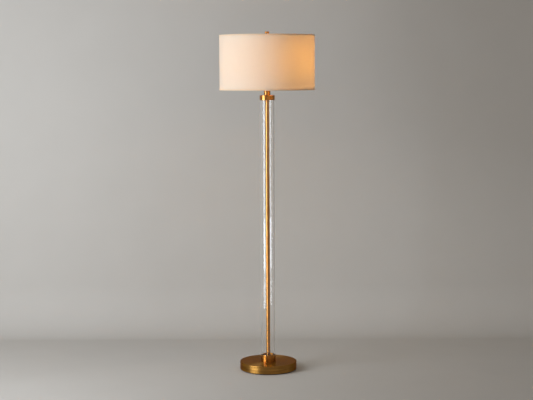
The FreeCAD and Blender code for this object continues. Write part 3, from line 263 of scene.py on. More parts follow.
def bored(mesh, start, end, radius):
    """The same mesh with a round hole cut through it from one point to another, in millimetres."""
    start, end = Vector(start) * MM, Vector(end) * MM
    drill = bpy.data.meshes.new("drill")
    work = bmesh.new()
    bmesh.ops.create_cone(
        work, cap_ends=True, segments=MEDIUM, radius1=radius * MM, radius2=radius * MM,
        depth=(end - start).length,
    )
    work.to_mesh(drill)
    work.free()
    turn = (end - start).to_track_quat("Z", "Y").to_matrix().to_4x4()
    drill.transform(Matrix.Translation((start + end) / 2) @ turn)
    tool = bpy.data.objects.new("drill", drill)
    blank = bpy.data.objects.new("blank", mesh)
    for thing in (tool, blank):
        bpy.context.scene.collection.objects.link(thing)
    cut = blank.modifiers.new("hole", "BOOLEAN")
    cut.object = tool
    cut.operation = "DIFFERENCE"
    cut.solver = "EXACT"
    bpy.context.view_layer.update()
    cut_blank = blank.evaluated_get(bpy.context.evaluated_depsgraph_get())
    holed = bpy.data.meshes.new_from_object(cut_blank)
    holed.name = mesh.name
    for thing in (tool, blank):
        bpy.data.objects.remove(thing)
    holed.set_sharp_from_angle(angle=SHARP)
    return holed


# ----------------------------------------------------------------------------------------------
# Materials
# ----------------------------------------------------------------------------------------------
def linear(colour):
    """A colour written as sRGB hex, as linear red, green, blue and a full alpha."""
    value = np.array([int(colour[k:k + 2], 16) for k in (1, 3, 5)]) / 255
    value = np.where(value <= 0.04045, value / 12.92, ((value + 0.055) / 1.055) ** 2.4)
    return (*value.tolist(), 1.0)


def add(tree, kind, sockets=None, **settings):
    """Adds a shader node: settings are its properties, and each of its sockets that is named or
    numbered takes a value, or a link from another node's output."""
    node = tree.nodes.new("ShaderNode" + kind)
    for name, value in settings.items():
        setattr(node, name, value)
    for name, value in (sockets or {}).items():
        if isinstance(value, bpy.types.NodeSocket):
            tree.links.new(value, node.inputs[name])
        else:
            node.inputs[name].default_value = value
    return node


def finish_of(name, colour, roughness, metallic=0.0, **constants):
    """A material with one Principled shader. Constants are its other sockets, with underscores
    for the spaces in their names. Gives back the material, its node tree and the shader."""
    material = bpy.data.materials.new(name)
    material.use_nodes = True
    tree = material.node_tree
    shader = tree.nodes["Principled BSDF"]
    shader.inputs["Base Color"].default_value = linear(colour)
    shader.inputs["Roughness"].default_value = roughness
    shader.inputs["Metallic"].default_value = metallic
    for socket, value in constants.items():
        shader.inputs[socket.replace("_", " ")].default_value = value
    return material, tree, shader


MIX_A, MIX_B, MIX_RESULT = 6, 7, 2  # the colour sockets of a Mix node


def marked(tree, shader, marks, colours=(), roughness=(), depth_mm=0.0):
    """Lets marks, a pattern from 0 to 1, run the shader's colour between two sRGB colours and its
    roughness between two values, and raise the surface by a depth in millimetres."""
    if colours:
        dark, light = (linear(colour) for colour in colours)
        mix = add(tree, "Mix", {0: marks, MIX_A: dark, MIX_B: light}, data_type="RGBA")
        tree.links.new(mix.outputs[MIX_RESULT], shader.inputs["Base Color"])
    if roughness:
        rough = add(tree, "MapRange", {
            "Value": marks, "To Min": roughness[0], "To Max": roughness[1]})
        tree.links.new(rough.outputs[0], shader.inputs["Roughness"])
    if depth_mm:
        bump = add(tree, "Bump", {"Height": marks, "Distance": depth_mm * MM})
        tree.links.new(bump.outputs["Normal"], shader.inputs["Normal"])


def grain(tree, size_mm, detail=3.0, stretch=(1, 1, 1)):
    """Noise on Object coordinates, spread to 0 to 1. Its blobs are about size_mm across, and
    longer where stretch is."""
    place = add(tree, "TexCoord").outputs["Object"]
    stretched = add(tree, "Mapping", {"Vector": place, "Scale": [1 / part for part in stretch]})
    noise = add(tree, "TexNoise", {
        "Vector": stretched.outputs[0], "Scale": 1 / (size_mm * MM), "Detail": detail})
    return add(tree, "MapRange", {
        "Value": noise.outputs[0], "From Min": 0.3, "From Max": 0.7}).outputs[0]


def lathe_lines(tree, spacing_mm, run=1.5, detail=2.0):
    """Lines left by a tool on a piece that turns about Z. The noise is read at (distance from the
    axis, height, sine and cosine of the angle), with the first two divided by the spacing and the
    last two times run, so a line goes a long way round and has no seam."""
    place = add(tree, "TexCoord").outputs["Object"]
    flat = add(tree, "VectorMath", {0: place, 1: (1, 1, 0)}, operation="MULTIPLY").outputs[0]
    distance = add(tree, "VectorMath", {0: flat}, operation="LENGTH").outputs["Value"]
    way = add(tree, "VectorMath", {0: flat}, operation="NORMALIZE").outputs[0]
    sine_cosine = add(tree, "SeparateXYZ", {0: way})
    height = add(tree, "SeparateXYZ", {0: place}).outputs[2]
    scaled = [
        add(tree, "Math", {0: source, 1: factor}, operation="MULTIPLY").outputs[0]
        for source, factor in (
            (distance, 1 / (spacing_mm * MM)),
            (height, 1 / (spacing_mm * MM)),
            (sine_cosine.outputs[1], run),
            (sine_cosine.outputs[0], run),
        )
    ]
    spot = add(tree, "CombineXYZ", dict(enumerate(scaled[:3])))
    noise = add(tree, "TexNoise", {
        "Vector": spot.outputs[0], "W": scaled[3], "Scale": 1.0, "Detail": detail},
        noise_dimensions="4D")
    return add(tree, "MapRange", {
        "Value": noise.outputs[0], "From Min": 0.3, "From Max": 0.7}).outputs[0]


def along_lathe(tree, shader):
    """Turns the shader's brushing to run round the Z axis."""
    tangent = add(tree, "Tangent", direction_type="RADIAL", axis="Z")
    tree.links.new(tangent.outputs[0], shader.inputs["Tangent"])


def brushed_brass():
    """Brass spun to shape and satin brushed on the lathe: fine rings that draw a highlight out
    across them, under clear lacquer. Its colours are darker than the turned brass: painted shade
    of the dark surroundings that the base mirrors."""
    # Base colour and line colours are set darker than bare brass: painted shade of dark
    # surroundings; the brushed rings are real
    material, tree, shader = finish_of(
        "brushed_brass", "#94692F", 0.34, 1.0, Anisotropic=0.85, Anisotropic_Rotation=0.25,
        Coat_Weight=0.15, Coat_Roughness=0.2, Specular_Tint=linear("#C9A062"))
    lines = lathe_lines(tree, 3.2, detail=4.0)  # real lines are 0.1 mm apart; coarser, to show
    marked(tree, shader, lines, ("#7C5624", "#AD803F"), (0.28, 0.42), 0.07)
    along_lathe(tree, shader)
    return material


def turned_brass():
    """Turned brass, left satin by the lathe and lacquered: bright, with faint rings that draw its
    highlights out along the piece."""
    material, tree, shader = finish_of(
        "turned_brass", "#BD8030", 0.24, 1.0, Anisotropic=0.9, Anisotropic_Rotation=0.25,
        Coat_Weight=0.8, Coat_Roughness=0.22, Specular_Tint=linear("#E6BE82"))
    marked(tree, shader, grain(tree, 18), ("#B57827", "#C58836"))
    marked(tree, shader, lathe_lines(tree, 0.9), roughness=(0.2, 0.28))
    marked(tree, shader, lathe_lines(tree, 0.6), depth_mm=0.004)
    along_lathe(tree, shader)
    return material


def drawn_brass():
    """Brass drawn to sheet, bare or plated on steel wire: bright, with a slight orange peel."""
    material, tree, shader = finish_of("drawn_brass", "#C99A55", 0.24, 1.0)
    marked(tree, shader, grain(tree, 9), ("#BB8A45", "#D8AC68"))
    marked(tree, shader, grain(tree, 2.5), roughness=(0.18, 0.32))
    marked(tree, shader, grain(tree, 0.8), depth_mm=0.01)
    return material


def clear_glass():
    """Drawn borosilicate tube: clear, with slow changes of polish along it, and lamps shine
    through it."""
    material, tree, shader = finish_of(
        "clear_glass", "#FFFEFD", 0.01, IOR=1.47, Transmission_Weight=1.0,
        Specular_IOR_Level=0.3)
    marked(tree, shader, grain(tree, 60, detail=1.0, stretch=(1, 1, 6)), roughness=(0.0, 0.02))
    through = add(tree, "BsdfTransparent", {"Color": linear("#FAF8F5")})
    path = add(tree, "LightPath")
    mix = add(tree, "MixShader", {
        0: path.outputs["Is Shadow Ray"], 1: shader.outputs[0], 2: through.outputs[0]})
    tree.links.new(mix.outputs[0], tree.nodes["Material Output"].inputs["Surface"])
    return material


def clear_silicone():
    """Clear silicone gasket: soft and slightly cloudy."""
    material, tree, shader = finish_of(
        "clear_silicone", "#E9ECE8", 0.3, IOR=1.41, Transmission_Weight=0.8)
    marked(tree, shader, grain(tree, 1.2), depth_mm=0.03)
    return material


def weave(tree, thread_mm):
    """Plain weave on the piece's own UV map, in metres: the sine of the place across the threads
    one way times the sine the other way, so that crossings stand up in turn."""
    ways = add(tree, "SeparateXYZ", {0: add(tree, "UVMap", uv_map="UVMap").outputs[0]})
    waves = []
    for way in (0, 1):
        turns = add(tree, "Math", {0: ways.outputs[way], 1: math.pi / (thread_mm * MM)},
                    operation="MULTIPLY")
        waves.append(add(tree, "Math", {0: turns.outputs[0]}, operation="SINE").outputs[0])
    crossed = add(tree, "Math", {0: waves[0], 1: waves[1]}, operation="MULTIPLY")
    return add(tree, "MapRange", {"Value": crossed.outputs[0], "From Min": -1.0}).outputs[0]


def slubs(tree, round_mm, up_mm):
    """Thick and thin stretches of thread on the UV map, as noise that changes over these lengths
    round the drum and up it."""
    place = add(tree, "UVMap", uv_map="UVMap").outputs[0]
    scaled = add(tree, "Mapping", {
        "Vector": place, "Scale": (1 / (round_mm * MM), 1 / (up_mm * MM), 1)})
    noise = add(tree, "TexNoise", {"Vector": scaled.outputs[0], "Scale": 1.0, "Detail": 2.0},
                noise_dimensions="2D")
    return noise.outputs[0]


def linen(name, dark, light, passes, thread_mm):
    """Undyed linen in plain weave with slubbed threads: matt, slightly fuzzy, and it lets light
    through. passes is the share of light that goes through. Threads are drawn about twice as
    coarse as real ones, so that they show."""
    material, tree, shader = finish_of(name, light, 0.9, Sheen_Weight=0.25, Sheen_Roughness=0.5)
    both = add(tree, "Math", {0: slubs(tree, 45, 1.1), 1: slubs(tree, 2.2, 80)}, operation="ADD")
    share = add(tree, "MapRange", {"Value": both.outputs[0], "From Min": 0.7, "From Max": 1.3})
    marked(tree, shader, share.outputs[0], (dark, light))
    relief = add(tree, "Math", {0: weave(tree, thread_mm), 1: both.outputs[0]}, operation="ADD")
    marked(tree, shader, relief.outputs[0], depth_mm=0.1)
    colour = shader.inputs["Base Color"].links[0].from_socket
    glow = add(tree, "BsdfTranslucent", {"Color": colour})
    mix = add(tree, "MixShader", {0: passes, 1: shader.outputs[0], 2: glow.outputs[0]})
    tree.links.new(mix.outputs[0], tree.nodes["Material Output"].inputs["Surface"])
    return material


def white_styrene():
    """Calendered styrene sheet: white, smooth, and it spreads the light that goes through."""
    passes = 0.9  # the share of light that goes through
    material, tree, shader = finish_of("white_styrene", "#F4EFE6", 0.45)
    marked(tree, shader, grain(tree, 30), ("#EFE8DC", "#F7F3EC"))
    marked(tree, shader, grain(tree, 3), depth_mm=0.01)
    glow = add(tree, "BsdfTranslucent", {"Color": linear("#FBEBD2")})
    mix = add(tree, "MixShader", {0: passes, 1: shader.outputs[0], 2: glow.outputs[0]})
    tree.links.new(mix.outputs[0], tree.nodes["Material Output"].inputs["Surface"])
    return material


def zinc_steel():
    """Zinc-plated steel: bluish grey, softly bright, with a drawn grain."""
    material, tree, shader = finish_of("zinc_steel", "#B9BBBC", 0.3, 1.0)
    marked(tree, shader, grain(tree, 3), ("#A3A6A8", "#C9CBCB"))
    marked(tree, shader, grain(tree, 1.5, stretch=(1, 1, 5)), roughness=(0.22, 0.42))
    marked(tree, shader, grain(tree, 0.5), depth_mm=0.01)
    return material


def enamelled_iron():
    """Cast iron under black enamel: pebbled by the sand of its mould."""
    material, tree, shader = finish_of("enamelled_iron", "#1E1E1F", 0.5)
    marked(tree, shader, grain(tree, 4), ("#161616", "#2A2A2B"))
    marked(tree, shader, grain(tree, 1.5, detail=5.0), roughness=(0.42, 0.6), depth_mm=0.2)
    return material


def wool_felt():
    """Pressed wool felt: matt, with a nap of short fibres."""
    material, tree, shader = finish_of("wool_felt", "#2B2724", 0.95, Sheen_Weight=0.3)
    marked(tree, shader, grain(tree, 0.6, detail=5.0), ("#1D1A18", "#3A3531"), depth_mm=0.2)
    return material


def moulded(name, dark, light, low, high, size_mm=0.7):
    """Moulded plastic or pressed fibre: a fine even grain from the tool, between two colours."""
    material, tree, shader = finish_of(name, light, high)
    marked(tree, shader, grain(tree, size_mm), (dark, light), (low, high), 0.01)
    return material


def lit_globe():
    """Frosted polycarbonate globe, lit from inside by warm diodes."""
    material, tree, shader = finish_of("lit_globe", "#FFF3E2", 0.5, Emission_Strength=GLOBE_GLOW)
    tint = add(tree, "Mix", {
        0: grain(tree, 14), MIX_A: linear("#FFC98C"), MIX_B: linear("#FFDCAF")}, data_type="RGBA")
    tree.links.new(tint.outputs[MIX_RESULT], shader.inputs["Emission Color"])
    marked(tree, shader, grain(tree, 0.5), depth_mm=0.01)
    return material


def studio_paint():
    """Matt paint of the floor and backdrop: pale, with a faint roller texture. The sheet is clear
    from its back, so that it never hides the lamp."""
    material, tree, shader = finish_of("studio_paint", "#BEB9B2", 0.85)
    marked(tree, shader, grain(tree, 220), ("#BDB8B1", "#BFBAB3"))
    marked(tree, shader, grain(tree, 2.0), depth_mm=0.05)
    clear = add(tree, "BsdfTransparent")
    back = add(tree, "NewGeometry").outputs["Backfacing"]
    mix = add(tree, "MixShader", {0: back, 1: shader.outputs[0], 2: clear.outputs[0]})
    tree.links.new(mix.outputs[0], tree.nodes["Material Output"].inputs["Surface"])
    return material


def nickel_plate():
    """Nickel-plated brass sheet, pressed: pale and bright, with soft drawing marks."""
    material, tree, shader = finish_of("nickel_plating", "#C9C4BA", 0.22, 1.0)
    marked(tree, shader, grain(tree, 6), ("#BDB7AC", "#D3CEC5"))
    marked(tree, shader, grain(tree, 1.0, stretch=(1, 1, 4)), roughness=(0.16, 0.3))
    return material


def piece(name, mesh, material, *nodes):
    """An object at the origin for a mesh, standing for CAD nodes: it rides on their body, and the
    nodes are hidden. Weighted normals keep broad faces flat beside small roundings."""
    thing = bpy.data.objects.new(name, mesh)
    bpy.context.scene.collection.objects.link(thing)
    mesh.name = name
    mesh.materials.clear()
    mesh.materials.append(material)
    thing.modifiers.new("even_shading", "WEIGHTED_NORMAL").keep_sharp = True
    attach(thing, frame["nodes"][nodes[0]]["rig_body"])
    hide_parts(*nodes)
    return thing


def dressed(material, *nodes):
    """Gives CAD nodes that stay as they are a material."""
    for node in nodes:
        for place in frame["nodes"][node].material_slots:
            place.material = material


def lathed(corners, steps=MEDIUM, centre=(0, 0)):
    """The mesh of one piece turned from an outline of (radius, level, rounding) corners."""
    return surface("lathed", [turned(rounded(corners), steps, centre=centre)])


def lathed_bow(*stretches, steps=MEDIUM):
    """The mesh of one piece turned from an outline joined from stretches of points."""
    return surface("lathed", [turned(np.concatenate(stretches), steps)])


PIPE_HOLE = span("lamp_pipe")[0] + 0.25  # the hole in every piece on the threaded pipe


def make_base(finishes):
    """Felt pad, spun cover with its edge curled in, and the bushing in the cord's hole."""
    wall, edge, lip, cord_hole = 1.5, 2.5, 3.0, 4.825
    radius, low, high = span("base_pad")
    pad = piece("felt_pad", lathed([
        (0, low, 0), (radius, low, 0.6), (radius, high, 0.6), (0, high, 0),
    ], FINE), finishes["felt"], "base_pad")

    radius, low, high = span("base_cover")
    cover = lathed([
        (PIPE_HOLE, high - wall, 0),
        (radius - wall, high - wall, edge - wall),
        (radius - wall, low + wall, 0),
        (radius - lip, low + wall, 0.3),
        (radius - lip, low, 0.3),
        (radius, low, edge / 2),
        (radius, high, edge),
        (PIPE_HOLE, high, 0),
    ], FINE * 2)
    low_corner, high_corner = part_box("cord_bushing")
    inner_end, outer_end = low_corner.y / MM, high_corner.y / MM
    level = (low_corner.z + high_corner.z) / 2 / MM
    cover = bored(cover, (0, radius - 12, level), (0, radius + 12, level), cord_hole)
    piece("base_cover_spun", cover, finishes["brushed_brass"], "base_cover")

    bore, stem, barb, flange = 3.8, 4.7, 5.075, span("cord_bushing")[2] - level
    grip = radius - wall - 0.25
    bushing = turned(rounded([
        (bore, inner_end, 0.3), (stem, inner_end, 0.3), (stem, grip - 3, 0), (barb, grip - 1.5, 0),
        (barb, grip, 0), (stem, grip, 0), (stem, radius, 0), (flange, radius, 0.3),
        (flange, outer_end, 0.6), (bore, outer_end, 0.5),
    ]))
    piece("cord_bushing_moulded", surface("lathed", [along_y(bushing, level, 1)]),
          finishes["nylon"], "cord_bushing")
    dressed(finishes["iron"], "base_weight")
    dressed(finishes["zinc"], "lower_locknut", "pipe_washer", "lamp_pipe")


def make_column(finishes):
    """The two turned cups, the glass between them with its gaskets, the rod and the neck."""
    edge = 0.5
    glass_radius, glass_low, glass_high = span("glass_column")
    glass_wall, glass_edge, glass_gap = 4.5, 0.6, 0.4
    rod_radius, rod_low, rod_high = span("centre_rod")
    rod_wall = 1.0
    cup, spigot = glass_radius + glass_gap, rod_radius - rod_wall - 0.05
    spigot_height, ease = 6.0, 0.3
    gasket_width, gasket_edge = 5, 0.4

    radius, low, high = span("lower_collar")
    piece("lower_collar_turned", lathed([
        (PIPE_HOLE, low, 0), (radius, low, edge), (radius, high, edge), (cup, high, ease),
        (cup, rod_low, 0), (spigot, rod_low, 0), (spigot, rod_low + spigot_height, ease),
        (PIPE_HOLE, rod_low + spigot_height, 0),
    ], FINE), finishes["turned_brass"], "lower_collar")

    radius, low, high = span("upper_cap")
    piece("upper_cap_turned", lathed([
        (PIPE_HOLE, rod_high - spigot_height, 0), (spigot, rod_high - spigot_height, ease),
        (spigot, rod_high, 0), (cup, rod_high, 0), (cup, low, ease), (radius, low, edge),
        (radius, high, edge), (PIPE_HOLE, high, 0),
    ], FINE), finishes["turned_brass"], "upper_cap")

    bore = glass_radius - glass_wall
    piece("glass_tube", lathed([
        (bore, glass_low, glass_edge), (glass_radius, glass_low, glass_edge),
        (glass_radius, glass_high, glass_edge), (bore, glass_high, glass_edge),
    ], FINE), finishes["glass"], "glass_column")
    for node in ("lower_gasket", "upper_gasket"):
        radius, low, high = span(node)
        piece(node + "_ring", lathed([
            (radius - gasket_width, low, gasket_edge), (radius, low, gasket_edge),
            (radius, high, gasket_edge), (radius - gasket_width, high, gasket_edge),
        ], FINE), finishes["silicone"], node)

    piece("centre_rod_drawn", lathed([
        (rod_radius - rod_wall, rod_low, 0), (rod_radius, rod_low, 0.2),
        (rod_radius, rod_high, 0.2), (rod_radius - rod_wall, rod_high, 0),
    ]), finishes["turned_brass"], "centre_rod")

    radius, low, high = span("neck")
    piece("neck_turned", lathed([
        (PIPE_HOLE, low, 0), (radius, low, 0.8), (radius, high, 0.8), (PIPE_HOLE, high, 0),
    ]), finishes["turned_brass"], "neck")


def bow(start, finish, radius, side, steps=18):
    """The arc of a radius from one (across, up) point to another. Its centre is on the left (1) or
    the right (-1) of the way between them: at half the chord, and square to it by the third side
    of the triangle of the radius and half the chord."""
    start, finish = np.array(start, dtype=float), np.array(finish, dtype=float)
    chord = finish - start
    reach = math.sqrt(radius ** 2 - chord @ chord / 4)
    centre = (start + finish) / 2 + side * reach * unit(np.array([-chord[1], chord[0]]))
    first, last = (np.arctan2(*(point - centre)[::-1]) for point in (start, finish))
    sweep = (last - first + math.pi) % TURN - math.pi
    return arc(centre, radius, math.degrees(first), math.degrees(first + sweep), steps)


def make_harp(finishes):
    """The bent wire with its pressed feet and seat, the riveted stud, and the two ferrules."""
    wire, splay = 1.8, math.radians(12)
    knee_bend, shoulder_bend = 60, 48
    leg = middle_x("right_ferrule")
    foot_low = span("harp_wire")[1]
    tab_top = span("harp_saddle")[2]
    seat_top = span("harp_wire")[2]
    crown = seat_top - wire
    knee = tab_top + 28.5
    shoulder = leg + (crown - knee) * math.tan(splay)
    path = respaced(rounded([
        (leg, foot_low, 0), (leg, knee, knee_bend), (shoulder, crown, shoulder_bend),
        (-shoulder, crown, shoulder_bend), (-leg, knee, knee_bend), (-leg, foot_low, 0),
    ], steps=60, closed=False), 0.7)
    out, up = path.T
    foot = 1 - smooth(up, tab_top + 0.2, tab_top + 2.0)
    foot_width, foot_thick, foot_out = 3.0, 0.8, 0.95  # the first two are halves
    disc, plate = 7.0, 1.2  # the seat's radius and half its thickness
    at_top = up > crown - 1
    seat = smooth(-np.abs(out), -disc - 1.0, -disc + 0.6) * at_top
    half_side = np.maximum(wire, np.sqrt(np.clip(disc ** 2 - out ** 2, 0, None)) * at_top)
    half_side += (foot_width - wire) * foot
    half_up = wire + (foot_thick - wire) * foot + (plate - wire) * seat
    squareness = 2 + 6 * np.maximum(foot, seat)
    path = np.stack([out + np.sign(out) * foot_out * foot, up + (wire - plate) * seat], axis=1)
    grid = carried(upright(path), (0, 1, 0), half_side, half_up, squareness, steps=32)
    piece("harp_bent_wire", surface("bent", [grid]), finishes["plated_brass"], "harp_wire")

    _, head_low, end = span("harp_stud")
    head, rivet, flange, hub, thread = 4, 2.5, 6.5, 5.2, 3.1
    under, flange_top, hub_top = seat_top - 2.4, seat_top + 2, seat_top + 3.6
    piece("harp_stud_turned", lathed([
        (0, head_low, 0), (head, head_low, 0.8), (head, under, 0), (rivet, under, 0),
        (rivet, seat_top, 0), (flange, seat_top, 0.3), (flange, flange_top, 0.4),
        (hub, flange_top, 0), (hub, hub_top, 0.3), (thread, hub_top, 0), (thread, end, 0.5),
        (0, end, 0),
    ]), finishes["turned_brass"], "harp_stud")

    bore, wall, lip = 4.1, 0.8, 0.5
    hole, neck = wire + 0.25, 2.0
    for node in ("left_ferrule", "right_ferrule"):
        _, low, high = span(node)
        ceiling = high - neck
        piece(node + "_turned", lathed([
            (bore, low, 0), (bore + wall + lip, low, 0.2), (bore + wall + lip, low + wall, 0.2),
            (bore + wall, low + wall, 0), (bore + wall, ceiling, 0.4), (hole + wall, high, 0.2),
            (hole, high, 0), (hole, ceiling, 0), (bore, ceiling, 0),
        ], centre=(middle_x(node), 0)), finishes["turned_brass"], node)
    dressed(finishes["plated_brass"], "harp_saddle")
    dressed(finishes["zinc"], "upper_locknut")


def make_lampholder(finishes):
    """The cap with its bowl, the sleeve with the hole for the switch, and the fluted knob."""
    radius, low, high = span("socket_cap")
    hub, wall, bowl = 7.5, 0.8, 11.0
    inner = radius - wall
    bowl_low, bowl_top, hub_top = low + 3, low + 12, low + 7
    piece("socket_cap_spun", lathed_bow(
        [(PIPE_HOLE, low), (hub, low)],
        bow((hub, bowl_low), (radius, bowl_top), bowl, 1),
        rounded([(radius, bowl_top, 0), (radius, high, 0.3), (inner, high, 0.3),
                 (inner, bowl_top, 0)], closed=False),
        bow((inner, bowl_top), (hub, bowl_low + wall), bowl - wall, -1),
        [(hub, hub_top), (PIPE_HOLE, hub_top)],
    ), finishes["turned_brass"], "socket_cap")

    radius, low, high = span("socket_shell")
    wall, lip = 0.5, 1.0
    sleeve = lathed([
        (radius - wall, low, 0), (radius, low, 0.2), (radius, high, 0.4),
        (radius - wall - lip, high, 0.2), (radius - wall - lip, high - wall, 0),
        (radius - wall, high - wall, 0),
    ])
    low_corner, high_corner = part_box("switch_shaft")
    level = (low_corner.z + high_corner.z) / 2 / MM
    shaft = (high_corner.z - low_corner.z) / 2 / MM
    sleeve = bored(sleeve, (0, -radius + 6, level), (0, -radius - 6, level), shaft + 0.25)
    piece("socket_shell_spun", sleeve, finishes["turned_brass"], "socket_shell")

    start, end = -high_corner.y / MM, -low_corner.y / MM
    pin = turned(rounded([(0, start, 0), (shaft, start, 0.4), (shaft, end, 0.4), (0, end, 0)]))
    piece("switch_shaft_turned", surface("lathed", [along_y(pin, level, -1)]),
          finishes["zinc"], "switch_shaft")

    low_corner, high_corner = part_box("switch_knob")
    start, end = -high_corner.y / MM, -low_corner.y / MM
    radius = (high_corner.x - low_corner.x) / 2 / MM
    taper, collar, bore, roof = 0.8, 3.0, 2.3, 2.0
    flutes, flute, flute_out = 8, 1.5, 0.7
    at_collar = radius - taper * collar / (end - start)

    def fluted(angle, distance, along):
        """Past the collar, the radius stays inside the near side of eight upright circles."""
        off = (angle + math.pi / flutes) % (TURN / flutes) - math.pi / flutes
        centre = radius + flute_out
        half = np.clip(flute ** 2 - (centre * np.sin(off)) ** 2, 0, None)
        near = np.where(half > 0, centre * np.cos(off) - np.sqrt(half), 99.0)
        cut = (along > start + collar + 0.1) & (distance > bore + 1)
        return np.where(cut, np.minimum(distance, near), distance)

    knob = turned(rounded([
        (bore, start, 0), (radius, start, 0.3), (at_collar, start + collar, 0),
        (at_collar, start + collar + 0.2, 0), (radius - taper, end, 0.8), (0, end, 0),
        (0, end - roof, 0), (bore, end - roof, 0),
    ]), 240, fluted)
    piece("switch_knob_moulded", surface("lathed", [along_y(knob, level, -1)]),
          finishes["knob_plastic"], "switch_knob")
    dressed(finishes["phenolic"], "socket_body")
    dressed(finishes["zinc"], "terminal_screws")
    dressed(finishes["fibre"], "socket_liner")
    dressed(finishes["plated_brass"], "thread_shell", "centre_contact")


def make_bulb(finishes):
    """The bulb: screw cap, flared neck and frosted globe."""
    radius, low, high = span("bulb_contact")
    piece("bulb_contact_pressed", lathed([
        (0, low, 0), (2.5, low, 0.3), (2.5, low + 0.8, 0), (5, low + 0.8, 0), (radius, high, 0),
        (0, high, 0),
    ]), finishes["insulator"], "bulb_contact")
    radius, low, high = span("bulb_cap")
    wall = 0.5
    piece("bulb_cap_pressed", lathed([
        (5, low, 0), (radius, low, 1.0), (radius, high, 0), (radius - wall, high, 0),
        (radius - wall, low + wall, 0), (5, low + wall, 0),
    ]), finishes["nickel"], "bulb_cap")

    rim, low, high = span("bulb_housing")
    wall, curve, recess, ledge = 1.2, 60.0, 21.2, 1.2
    inner = rim - wall * 3
    piece("bulb_neck_moulded", lathed_bow(
        [(recess, high), (recess, high - ledge), (inner, high - ledge)],
        bow((inner, high - ledge), (radius - wall, low), curve + wall, 1),
        bow((radius, low), (rim, high), curve, -1),
    ), finishes["white_plastic"], "bulb_housing")

    radius, low, high = span("bulb_diffuser")
    centre, wall = high - radius, 1.2
    half_open = math.degrees(math.asin((low - centre) / radius))
    half_inner = math.degrees(math.asin((low - centre) / (radius - wall)))
    piece("bulb_globe_moulded", lathed_bow(
        arc((0, centre), radius - wall, 90, half_inner, 40),
        arc((0, centre), radius, half_open, 90, 40),
    ), finishes["lit_globe"], "bulb_diffuser")
    dressed(finishes["white_plastic"], "led_board")


def make_shade(finishes):
    """The drum: linen over a styrene sheet, folded tapes at the rims, wire rings, the spider."""
    steps = 720
    radius, low, high = span("shade_fabric")
    thick, inset = 0.5, 9.0
    seam_angle, seam_half, seam_height = math.pi / 2, 7.0, 0.25

    def seamed(angle, distance, level):
        """A flat ridge at the back, where one edge of the cloth laps over the other."""
        away = np.abs((angle - seam_angle + math.pi) % TURN - math.pi) * radius
        lap = 1 - smooth(away, seam_half - 0.8, seam_half + 0.8)
        above = smooth(level, low + inset - 1, low + inset)
        below = smooth(-level, inset - high - 1, inset - high)
        clear = above * below  # of the tapes
        return distance + seam_height * lap * clear * (distance > radius - thick / 2)

    levels = np.array([low, low + inset - 1, low + inset, high - inset, high - inset + 1, high])
    outline = np.concatenate([
        np.stack([np.full(6, radius), levels], axis=1),
        np.stack([np.full(6, radius - thick), levels[::-1]], axis=1),
    ])
    cloth = piece("shade_linen", surface("sheet", [turned(outline, steps, seamed)]),
                  finishes["linen"], "shade_fabric")

    radius, low, high = span("shade_liner")
    thick = 0.6
    piece("shade_liner_sheet", lathed([
        (radius - thick, low, 0), (radius, low, 0), (radius, high, 0), (radius - thick, high, 0),
    ], steps), finishes["styrene"], "shade_liner")

    tape, outer_leg, inner_leg = 0.5, 7.0, 5.0
    wire, arm_room = 1.5, 3.2
    ring = span("shade_bottom_ring")[0] - wire
    inside = ring - wire - 0.05
    radius = span("shade_top_trim")[0]
    arms = np.radians([90, 210, 330])
    for node, rim, down in (("shade_top_trim", span("shade_top_trim")[2], -1),
                            ("shade_bottom_trim", span("shade_bottom_trim")[1], 1)):
        outline = rounded([
            (radius, rim, 0.2), (radius, rim + down * outer_leg, 0.1),
            (radius - tape, rim + down * outer_leg, 0.1), (radius - tape, rim + down * tape, 0),
            (inside, rim + down * tape, 0), (inside, rim + down * inner_leg, 0.1),
            (inside - tape, rim + down * inner_leg, 0.1), (inside - tape, rim, 0.2),
        ], steps=4)
        points, wrap_rows, wrap_columns = turned(outline, steps)
        if down < 0:
            angle = np.arange(steps)[:, None] * TURN / steps
            away = np.abs((angle[..., None] - arms + math.pi) % TURN - math.pi).min(-1) * inside
            distance, level = np.hypot(points[..., 0], points[..., 1]), points[..., 2]
            slit = (away < arm_room) & (distance < inside + tape / 2)
            points[..., 2] = np.where(slit, np.maximum(level, rim - tape), level)
        hem = piece(node + "_tape", surface("tape", [(points, wrap_rows, wrap_columns)]),
                    finishes["linen_tape"], node)

    def hoop(level):
        """A wire ring: the circle of the ring's radius at a level, with a round section."""
        angle = np.arange(steps) * TURN / steps
        x, y, z = ring * np.cos(angle), ring * np.sin(angle), np.full(steps, level)
        return carried(np.stack([x, y, z], axis=1), (0, 0, 1), wire, wire, closed=True)

    piece("shade_bottom_ring_bent", surface("bent", [hoop(span("shade_bottom_ring")[1] + wire)]),
          finishes["plated_brass"], "shade_bottom_ring")

    _, washer_low, ring_top = span("shade_spider")
    washer, washer_hole, washer_thick = 14.0, 5.45, 2.0
    middle, ring_level = washer_low + washer_thick / 2, ring_top - wire
    bend, rise = 16.0, math.radians(50)
    turn_out = ring - (ring_level - middle) / math.tan(rise)
    arm = respaced(rounded([
        (washer - 2 * wire, middle, 0), (turn_out, middle, bend), (ring, ring_level, 0),
    ], steps=24, closed=False), 1.5)
    grids = [hoop(ring_level), turned(rounded([
        (washer_hole, washer_low, 0.2), (washer, washer_low, 0.4),
        (washer, washer_low + washer_thick, 0.4), (washer_hole, washer_low + washer_thick, 0.2),
    ]))]
    for angle in arms:
        across = (-math.sin(angle), math.cos(angle), 0)
        grids.append(carried(upright(arm, angle), across, wire, wire))
    piece("shade_spider_welded", surface("bent", grids), finishes["plated_brass"], "shade_spider")


